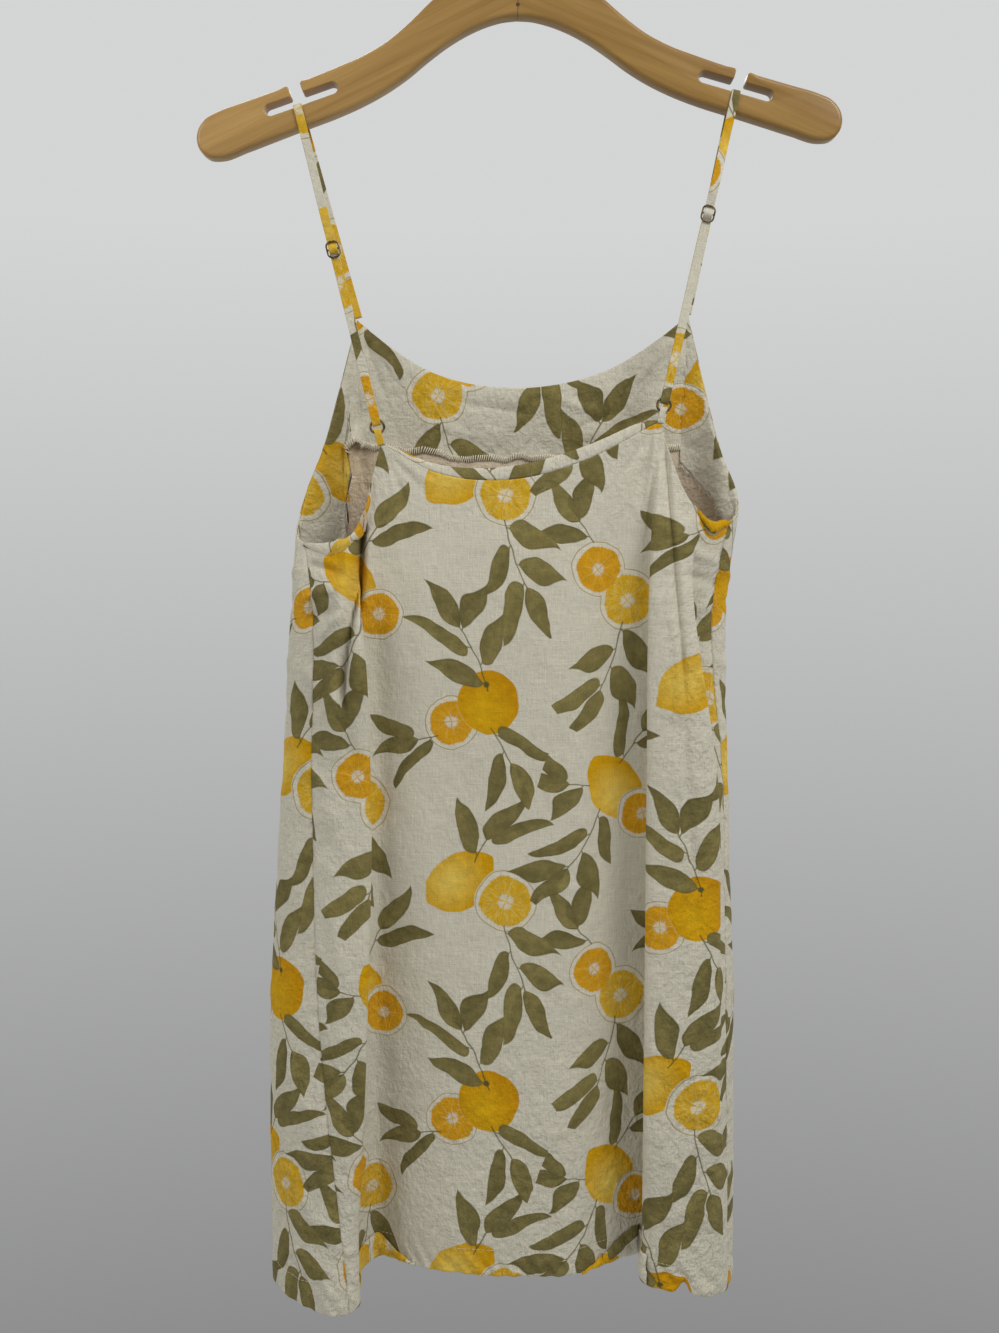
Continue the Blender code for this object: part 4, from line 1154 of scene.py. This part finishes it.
def hem_flip(high, low, height, place):
    """The hem allowance turned up outside the panel: from the hem line up, its height falling to nothing."""
    lines, _ = panel_lines(BACK_FROM, BACK_TO)
    hem_x = lines[:, -1, 0]
    keep = (hem_x > min(high, low)) & (hem_x < max(high, low))
    keep &= np.abs(np.arange(len(lines)) - len(lines) // 2) < len(lines) * 0.42
    lines = lines[keep]
    reach = (lines[:, -1, 0] - low) / (high - low)
    uneven = 1 + 0.08 * wander(lines[:, -1, 0], 0 * reach, 7.0, 81)
    tall = height * blend_in(reach, 0.0, 0.85) * uneven + 0.6
    share = np.linspace(0, 1, 12)
    z = lines[:, -1:, 2] + 0.4 + share[None, ::-1] * tall[:, None]
    plain = down_the_line(lines, z)
    grid = settle(plain)
    lift = 1.1 + 1.9 * np.sin(np.pi * share) ** 0.8
    grid = grid - inward(grid) * lift[None, :, None]
    return grid, flat_places(plain, 0, place) * [1, -1]


def back_facing_grid():
    """From the neck seam up over a soft roll and down inside, highest in the middle."""
    lines, _ = panel_lines(BACK_FROM, BACK_TO)
    lines = lines[first_column("corner_left"):first_column("crest_right") + 1]
    edge = settle(lines[:, :1])[:, 0]
    along = np.linspace(0, 1, len(edge))
    rise = ROLL_RISE * np.sin(np.pi * along) ** 0.8
    rows = []
    for share, below, behind in ROLL_ROWS:
        row = edge.copy()
        row[:, 2] += share * rise - below + 0.3
        row[:, 1] += behind
        rows.append(row)
    grid = np.stack(rows, axis=1)[1:-1]
    down = np.cumsum(np.linalg.norm(np.diff(grid, axis=1), axis=2), axis=1)
    down = np.concatenate([np.zeros((len(grid), 1)), down], axis=1)
    along = np.broadcast_to(run_along(grid[:, 0])[:, None] - 96.0, down.shape)
    flat = np.stack([along, down + 31.0], axis=2)
    return grid, flat


# The hanger

def tilted(x, z):
    """Turns a point about the middle of the hook's crown, left end down."""
    cos, sin = math.cos(HANGER_TILT), math.sin(HANGER_TILT)
    up = z - CROWN_MIDDLE_Z
    return x * cos - up * sin, CROWN_MIDDLE_Z + x * sin + up * cos


def slot_axes():
    """Directions along the right slot and up from it."""
    cos, sin = math.cos(SLOT_SLOPE), math.sin(SLOT_SLOPE)
    return np.array([cos, -sin]), np.array([sin, cos])


def slot_outline():
    """Points of the right T-slot, from its mouth's outer edge round the slot to its inner edge."""
    along, up = slot_axes()
    radius, mouth = SLOT_HIGH / 2, SLOT_MOUTH / 2
    reach = SLOT_LONG / 2 - radius
    angle = np.linspace(0, math.pi, 13)
    left, right = [np.stack([side * reach + radius * np.cos(angle - side * math.pi / 2),
                             radius * np.sin(angle - side * math.pi / 2)], axis=1) for side in (-1, 1)]
    edge = SLOT_MOUTH_SHIFT - mouth
    enter = [(edge, SLOT_DEEP - SLOT_LIP), (edge, radius + SLOT_LIP),
             (edge - SLOT_LIP * 0.4, radius + SLOT_LIP * 0.3), (edge - SLOT_LIP, radius)]
    leave = [(2 * SLOT_MOUTH_SHIFT - x, y) for x, y in reversed(enter)]
    local = np.vstack([enter, left, right, leave])
    return np.array(SLOT_MIDDLE) + local[:, :1] * along + local[:, 1:] * up


def hanger_outline():
    """Whole outline, evenly filled: the right half with its slot, then its mirror image."""
    middle_x = SLOT_MIDDLE[0]
    slot = slot_outline()
    inner = [point for point in HANGER_TOP if point[0] < middle_x - 10]
    outer = [point for point in HANGER_TOP if point[0] > middle_x + 16]
    along, up = slot_axes()
    rim = np.array(SLOT_MIDDLE) + up * SLOT_DEEP
    first = rim + along * (SLOT_MOUTH_SHIFT - SLOT_MOUTH / 2 - SLOT_LIP)
    last = rim + along * (SLOT_MOUTH_SHIFT + SLOT_MOUTH / 2 + SLOT_LIP)
    upper = smooth_path([*inner, first], 3.0)
    lower = smooth_path([last, *outer, *HANGER_END, *HANGER_UNDER], 3.0)
    half = np.vstack([upper, slot, lower])
    mirrored = half[::-1][half[::-1, 0] > 0.01] * [-1, 1]
    return np.vstack([half, mirrored])


def inset(outline, amount):
    """Moves each point of a clockwise outline inwards, square to its two edges' mean direction."""
    ahead = unit(np.roll(outline, -1, axis=0) - outline)
    before = np.roll(ahead, 1, axis=0)
    mean = unit(ahead + before)
    square = np.stack([mean[:, 1], -mean[:, 0]], axis=1)
    reach = 1 / np.maximum(np.sum(mean * ahead, axis=1), 0.75)
    return outline + square * (amount * reach)[:, None]


def hanger_part(thickness, edge):
    """The outline lofted from the back face round each edge's quarter circle to the front face.

    The radius is smaller round the slots.
    """
    outline = hanger_outline()
    from_slot = np.stack([np.abs(outline[:, 0]), outline[:, 1]], axis=1) - SLOT_MIDDLE
    along, over = [from_slot @ axis for axis in slot_axes()]
    reach = np.maximum(np.abs(along) - 27, -over - 4.5)
    reach = np.where(over > 4.5, np.abs(along - SLOT_MOUTH_SHIFT) - SLOT_MOUTH / 2 - 1.5, reach)
    radius = 0.9 + (edge - 0.9) * blend_in(reach, 0, 6)
    angle = np.linspace(0, math.pi / 2, 6)
    rounds = [(1 - math.sin(a), 1 - math.cos(a)) for a in angle]
    rings = []
    for side, order in ((-1, rounds), (1, rounds[::-1])):
        for amount, rise in order:
            x, z = tilted(*inset(outline, amount * radius).T)
            rings.append(np.stack([x, side * (thickness / 2 - rise * radius), z], axis=1))
    return grid_part(np.stack(rings), wrap=(False, True), caps=True, flip=True)


def hook_path():
    """Stem out of the wood, a soft bend to the right, then an arc over the crown."""
    angle = HOOK_TIP * np.arange(41) / 40
    arc = np.stack([HOOK_RADIUS * np.cos(angle), CROWN_MIDDLE_Z + HOOK_RADIUS * np.sin(angle)], axis=1)
    x, z = tilted(*np.vstack([HOOK_STEM, arc]).T)
    return smooth_path(np.stack([x, np.zeros_like(x), z], axis=1), 2.0)


# Straps and their fittings

def seat_height(x):
    """Height of the slot's lower edge at x, after the hanger's tilt."""
    side = math.copysign(1.0, x)
    slope = SLOT_SLOPE - side * HANGER_TILT
    middle_x, middle_z = tilted(side * SLOT_MIDDLE[0], SLOT_MIDDLE[1])
    return middle_z - (abs(x) - abs(middle_x)) * math.tan(slope) - SLOT_HIGH / 2 / math.cos(slope)


def on_line(a, b, z):
    """x at height z on the straight line between two (x, z) points."""
    return a[0] + (b[0] - a[0]) * (z - a[1]) / (b[1] - a[1])


def seat_of(place):
    """x and z of a strap's middle where it crosses its slot."""
    return place["seat_x"], seat_height(place["seat_x"]) + LAY_GAP + STRAP_CLOTH / 2 + SEAT_LIFT


def strap_line(place):
    """Width direction of a strap: square to its run from the seat to the ring, in the XZ plane."""
    seat_x, ring = place["seat_x"], place["ring"]
    run = np.array([ring[0] - seat_x, 0.0, ring[2] - seat_height(seat_x)])
    across = np.array([-run[2], 0.0, run[0]])
    return unit(across) * math.copysign(1.0, across[0])


def strap_points(place):
    """The strap's middle line: front end, up behind the arm, through slot, slider and ring, and back up."""
    half = STRAP_CLOTH / 2
    face = bpy.context.scene.hanger_sizes.thickness / MM / 2 + LAY_GAP + half
    seat = seat_of(place)
    seat_z = seat[1]
    slider_y, slider_z = place["slider"]
    ring_x, ring_y, ring_z = place["ring"]
    front_x, front_y, front_z = place["front"]
    over = SLIDER_THICK / 2 + LAY_GAP + half
    round_wire = RING_WIRE + LAY_GAP + half
    turn = ring_z + 1.5

    def behind(z, y):
        return on_line(seat, (front_x, front_z), z), y, z

    def before(z, y):
        return on_line(seat, (ring_x, ring_z), z), y, z

    points = [(front_x, front_y, front_z), behind(front_z + 12, front_y - 0.4),
              behind(seat_z - 60, face + 0.5), behind(seat_z - 26, face + 0.2),
              behind(seat_z - 8, face), behind(seat_z - 2.5, face - 0.2),
              (seat[0], face - 2.4, seat_z), (seat[0], 0.0, seat_z), (seat[0], 2.4 - face, seat_z),
              before(seat_z - 2.5, 0.2 - face), before(seat_z - 8, -face), before(seat_z - 26, -face - 0.2)]
    weave = ((16.0, 0.2), (7.0, over), (4.2, over), (3.1, over * 0.55), (1.8, -over * 0.55), (0.8, -over),
             (-0.8, -over), (-1.8, -over * 0.55), (-3.1, over * 0.55), (-4.2, over), (-7.0, over))
    points += [before(slider_z + up, slider_y + out) for up, out in weave]
    points += [before(ring_z + 20, ring_y - round_wire + 0.9), before(turn + 4, ring_y - round_wire),
               before(turn + 0.9, ring_y - round_wire * 0.9), before(turn - 0.6, ring_y),
               before(turn + 0.9, ring_y + round_wire * 0.9), before(turn + 4, ring_y + round_wire),
               before(ring_z + 20, ring_y + round_wire - 0.2)]
    back = over + STRAP_CLOTH + LAY_GAP + 0.3
    points += [before(slider_z - 14, slider_y + back + 0.2), before(slider_z - 6, slider_y + back),
               before(slider_z - 2.4, slider_y + back - 0.7), before(slider_z + 0.8, slider_y + over + 0.4)]
    return points


def loop_path(place):
    """The fabric loop's middle line, from the back corner round the lower side of the ring."""
    x, y, z = place["ring"]
    end_x, _, end_z = place["back"]
    round_wire = RING_WIRE + LAY_GAP + STRAP_CLOTH / 2
    top = z - 1.9
    low = end_z - 1.5
    legs = ((low, 0.95), (low + 2.0, 1.15), (top - 1.6, round_wire * 0.92), (top - 0.5, round_wire * 0.6))
    points = [(on_line((end_x, low), (x, top), h), y - out, h) for h, out in legs]
    points.append((x, y, top))
    points += [(on_line((end_x, low), (x, top), h), y + out, h) for h, out in reversed(legs)]
    return smooth_path(points, 0.5)


def slider_parts(place):
    """Bent wire round a rounded oblong, with a bar across its middle."""
    wide, tall = (SLIDER_WIDE - 2 * SLIDER_WIRE) / 2, (SLIDER_TALL - 2 * SLIDER_WIRE) / 2
    radius = 3.2
    angle = np.arange(32) * 2 * math.pi / 32
    corner_x, corner_z = np.sign(np.cos(angle + 0.01)), np.sign(np.sin(angle + 0.01))
    x = corner_x * (wide - radius) + radius * np.cos(angle)
    z = corner_z * (tall - radius) + radius * np.sin(angle)
    bar_x = np.linspace(-wide, wide, 9)
    lean = strap_line(place)
    up = np.array([-lean[2], 0.0, lean[0]])
    seat = seat_of(place)
    slider_y, slider_z = place["slider"]
    middle = np.array([on_line(seat, (place["ring"][0], place["ring"][2]), slider_z), slider_y, slider_z])
    frame_path = middle + x[:, None] * lean + z[:, None] * up
    bar_path = middle + bar_x[:, None] * lean
    return (tubes(frame_path[None], SLIDER_WIRE, 12, closed=True),
            tubes(bar_path[None], SLIDER_WIRE * 0.95, 12))


def ring_part(place):
    """Round wire carried round a circle that faces the viewer."""
    angle = np.arange(48) * 2 * math.pi / 48
    flat_ring = np.stack([np.cos(angle), np.zeros(48), np.sin(angle)], axis=1) * RING_RADIUS
    return tubes((np.array(place["ring"]) + flat_ring)[None], RING_WIRE, 14, closed=True)


# Sewing

def along_edge(edge, spacing):
    """Points every `spacing` along an edge (points, values), each value in line between its neighbours."""
    run = run_along(edge[:, :3])
    at = np.arange(spacing / 2, run[-1], spacing)
    return np.stack([np.interp(at, run, edge[:, k]) for k in range(edge.shape[1])], axis=1)


def stitch_places(edge, out, spacing):
    """Where stitches are along an edge, and their directions: out of the cloth, ahead and up into it."""
    rows = along_edge(np.hstack([edge, out]), spacing)
    place, side = rows[:, :3], unit(rows[:, 3:])
    ahead = unit(np.gradient(place, axis=0))
    rise = unit(np.cross(side, ahead))
    return place, side, ahead, rise * np.sign(rise[:, 2].mean())


def running_stitches(edge, out, length):
    """Short threads along an edge, each dipping into the cloth at its two ends."""
    place, side, ahead, _ = stitch_places(edge, out, length * 1.25)
    t = np.array([-0.5, -0.3, 0.0, 0.3, 0.5])
    lift = np.array([-0.15, 0.12, 0.2, 0.12, -0.15])
    paths = place[:, None] + ahead[:, None] * (t * length)[:, None] + side[:, None] * lift[:, None]
    return tubes(paths, STITCH_THREAD, 6)


def overlock(edge, out, depth, spacing):
    """Overlock seam: slanted threads across a raw edge, looping round it from the face to the back."""
    place, side, ahead, rise = stitch_places(edge, out, spacing)
    ahead *= spacing
    turns = np.array([(0.0, 1.0, 0.7), (0.3, 0.6, 0.95), (0.6, 0.1, 0.9), (0.8, -0.16, 0.1),
                      (0.9, 0.1, -0.9), (1.0, 0.9, -0.7)])
    paths = place[:, None] + ahead[:, None] * turns[:, 0, None]
    paths = paths + rise[:, None] * (turns[:, 1, None] * depth) + side[:, None] * turns[:, 2, None]
    return tubes(paths, OVERLOCK_THREAD, 5)


def fringe(edge, out, length, spacing):
    """Loose thread ends of a raw edge: short curved threads, each leaning its own way."""
    place, side, ahead, rise = stitch_places(edge, out, spacing)
    luck = np.random.default_rng(17).uniform(-1, 1, (len(place), 3))
    away = ahead * luck[:, :1] * 0.8 + side * luck[:, 1:2] * 0.5 - rise
    t = np.array([-0.2, 0.4, 1.0])[:, None]
    paths = place[:, None] + away[:, None] * t * (length * (1.0 + 0.6 * luck[:, 2, None, None]))
    return tubes(paths - side[:, None] * 0.4 * t ** 2, FRINGE_THREAD, 5)


# Operators

class DressStep:
    """What every step's operator shares."""

    bl_options = {"REGISTER", "UNDO"}


class DRESS_OT_camera(DressStep, bpy.types.Operator):
    """Sets the camera at the photographed viewing angle"""

    bl_idname = "dress.camera"
    bl_label = "Camera"

    def execute(self, context):
        data = bpy.data.cameras.new("view")
        data.sensor_width = 36.0
        data.lens = data.sensor_width * FOCAL_PIXELS / IMAGE_LONG
        camera = bpy.data.objects.new("view", data)
        camera.location = CAMERA_PLACE
        camera.rotation_euler = (CAMERA_TILT, 0.0, 0.0)
        context.scene.collection.objects.link(camera)
        context.scene.camera = camera
        return {"FINISHED"}


class DRESS_OT_stage(DressStep, bpy.types.Operator):
    """Lays the pale floor and hangs the soft lights"""

    bl_idname = "dress.stage"
    bl_label = "Stage"

    def execute(self, context):
        angle = np.arange(96) * 2 * math.pi / 96
        reach = np.array([10.0, 400.0, 800.0, 1200.0, 1600.0, FLOOR_REACH, FLOOR_REACH])[:, None]
        height = np.array([FLOOR_TOP] * 6 + [FLOOR_TOP - FLOOR_THICK])[:, None]
        rings = [reach * np.cos(angle), reach * np.sin(angle) + FLOOR_MIDDLE, height + 0 * angle]
        rings = np.stack(rings, axis=2)
        mesh = make_mesh("floor", grid_part(rings, wrap=(False, True), caps=True))
        mesh.materials.append(finish_of("floor"))
        floor = bpy.data.objects.new("floor", mesh)
        context.scene.collection.objects.link(floor)
        for name, place, turn, size, power in LAMPS:
            light = bpy.data.lights.new(name, "AREA")
            light.size = size
            light.energy = power
            lamp = bpy.data.objects.new(name, light)
            lamp.location = place
            lamp.rotation_euler = [math.radians(angle) for angle in turn]
            context.scene.collection.objects.link(lamp)
        context.scene.world = studio_walls("studio")
        context.scene.view_settings.view_transform = "Standard"
        return {"FINISHED"}


class DRESS_OT_hanger(DressStep, bpy.types.Operator):
    """Builds the wooden hanger with its two strap slots"""

    bl_idname = "dress.hanger"
    bl_label = "Hanger"

    def execute(self, context):
        sizes = context.scene.hanger_sizes
        mesh = make_mesh("hanger_wood", hanger_part(sizes.thickness / MM, sizes.edge / MM))
        add_piece("hanger_wood", mesh, ("wood",), ("hanger_body",))
        return {"FINISHED"}


class DRESS_OT_hook(DressStep, bpy.types.Operator):
    """Bends the steel hook"""

    bl_idname = "dress.hook"
    bl_label = "Hook"

    def execute(self, context):
        mesh = make_mesh("hook_wire", tubes(hook_path()[None], WIRE / 2, 24))
        add_piece("hook_wire", mesh, ("steel",), ("hanger_hook",))
        return {"FINISHED"}


class DRESS_OT_straps(DressStep, bpy.types.Operator):
    """Threads the two straps and the loops that hold their rings"""

    bl_idname = "dress.straps"
    bl_label = "Straps"

    def execute(self, context):
        width = context.scene.dress_sizes.strap_width / MM
        wall = STRAP_WALL * MM
        for side, place in STRAPS.items():
            path = smooth_path(strap_points(place), 1.6)
            part = carried(path, strap_line(place), strap_profile(width, STRAP_CLOTH), place["print"])
            mesh = make_mesh("strap_" + side, part)
            strap = add_piece("strap_%s_cloth" % side, mesh, ("printed",),
                              ("strap_" + side,), wall, -1.0)
            loop = loop_path(place)
            profile = strap_profile(LOOP_WIDTH, STRAP_CLOTH)
            part = carried(loop, np.array([1.0, 0.0, 0.0]), profile, place["print"])
            mesh = make_mesh("ring_loop_" + side, part)
            piece = add_piece("ring_loop_%s_cloth" % side, mesh, ("printed",),
                              ("ring_loop_" + side,), wall, -1.0)
        return {"FINISHED"}


class DRESS_OT_fittings(DressStep, bpy.types.Operator):
    """Makes the rings and sliders of the straps"""

    bl_idname = "dress.fittings"
    bl_label = "Rings and sliders"

    def execute(self, context):
        for side, place in STRAPS.items():
            mesh = make_mesh("ring_wire_" + side, ring_part(place))
            add_piece("ring_wire_" + side, mesh, ("brass",), ("ring_" + side,))
            mesh = make_mesh("slider_wire_" + side, *slider_parts(place))
            add_piece("slider_wire_" + side, mesh, ("brass",), ("slider_" + side,))
        return {"FINISHED"}


class DRESS_OT_panels(DressStep, bpy.types.Operator):
    """Hangs the back and front of the dress with their creases and turned-up hems"""

    bl_idname = "dress.panels"
    bl_label = "Back and front"

    def execute(self, context):
        middle = first_column("back_middle") - first_column(BACK_FROM)
        cloth_panel("back_cloth", BACK_FROM, BACK_TO, middle, BACK_ROWS, (18.0, 0.0), "back_panel")
        middle = first_column("front_middle") - first_column(BACK_TO)
        cloth_panel("front_cloth", BACK_TO, BACK_FROM, middle, FRONT_ROWS, (-35.0, 62.0), "front_panel")
        for name, flip in zip(("hem_flip_left", "hem_flip_right"), HEM_FLIPS):
            thin_piece(name, *hem_flip(*flip))
        return {"FINISHED"}


class DRESS_OT_facings(DressStep, bpy.types.Operator):
    """Sews the front facing inside the neckline and armholes, and the rolled back facing"""

    bl_idname = "dress.facings"
    bl_label = "Facings"

    def execute(self, context):
        grid, flat, plain = front_facing_grid()
        thin_piece("front_facing_cloth", grid, flat, ("front_facing",), "front_cloth", cut=plain, flip=True)
        for side in ROLLS:
            thin_piece("underarm_roll_" + side, *underarm_roll(side))
        grid, flat = back_facing_grid()
        thin_piece("back_facing_cloth", grid, flat, ("back_facing",), finishes=("plain", "printed"))
        return {"FINISHED"}


class DRESS_OT_sewing(DressStep, bpy.types.Operator):
    """Adds the hem stitches, and the overlocked and the frayed edge of the front facing"""

    bl_idname = "dress.sewing"
    bl_label = "Sewing"

    def execute(self, context):
        length = context.scene.dress_sizes.stitch_length / MM
        parts = []
        for start, stop, rows in ((BACK_FROM, BACK_TO, BACK_ROWS), (BACK_TO, BACK_FROM, FRONT_ROWS)):
            lines, _ = panel_lines(start, stop)
            grid = seam_groove(settle(down_the_line(lines, panel_heights(lines, rows))))
            row = rows + 1
            out = -inward(grid)[:, row]
            parts.append(running_stitches(grid[:, row] + out * 0.45, out, length))
        add_piece("hem_stitches", make_mesh("hem_stitches", *parts), ("thread",))
        grid, _, plain = front_facing_grid()
        edge, side, top_x = grid[:, -1], inward(grid)[:, -1], plain[:, 0, 0]
        sewn = (top_x > OVERLOCKED[0]) & (top_x < OVERLOCKED[1])
        mesh = make_mesh("facing_overlock", overlock(edge[sewn], side[sewn], OVERLOCK_DEEP, OVERLOCK_STEP))
        add_piece("facing_overlock", mesh, ("thread",))
        ends = (top_x <= OVERLOCKED[0], top_x >= OVERLOCKED[1])
        raw = [fringe(edge[part], side[part], FRINGE_LONG, FRINGE_STEP) for part in ends]
        add_piece("facing_fringe", make_mesh("facing_fringe", *raw), ("raw_thread",))
        return {"FINISHED"}


class DRESS_PT_steps(bpy.types.Panel):
    """Lists the steps in the order in which they are made"""

    bl_label = "Slip dress"
    bl_idname = "DRESS_PT_steps"
    bl_space_type = "VIEW_3D"
    bl_region_type = "UI"
    bl_category = "Slip dress"

    def draw(self, context):
        for group in (context.scene.dress_sizes, context.scene.dress_colours, context.scene.hanger_sizes):
            for name in group.__annotations__:
                self.layout.prop(group, name)
        for step in STEPS:
            self.layout.operator(step.bl_idname)


STEPS = (DRESS_OT_camera, DRESS_OT_stage, DRESS_OT_hanger, DRESS_OT_hook, DRESS_OT_straps, DRESS_OT_fittings,
         DRESS_OT_panels, DRESS_OT_facings, DRESS_OT_sewing)
GROUPS = (("dress_sizes", DressSizes), ("dress_colours", DressColours), ("hanger_sizes", HangerSizes))


def register():
    for name, group in GROUPS:
        bpy.utils.register_class(group)
        setattr(bpy.types.Scene, name, bpy.props.PointerProperty(type=group))
    for step in (*STEPS, DRESS_PT_steps):
        bpy.utils.register_class(step)


def unregister():
    for step in (*STEPS, DRESS_PT_steps):
        bpy.utils.unregister_class(step)
    for name, group in GROUPS:
        delattr(bpy.types.Scene, name)
        bpy.utils.unregister_class(group)


def main():
    """Makes every step in order."""
    register()
    bpy.ops.dress.camera()
    bpy.ops.dress.stage()
    bpy.ops.dress.hanger()
    bpy.ops.dress.hook()
    bpy.ops.dress.straps()
    bpy.ops.dress.fittings()
    bpy.ops.dress.panels()
    bpy.ops.dress.facings()
    bpy.ops.dress.sewing()


if __name__ == "__main__":
    main()
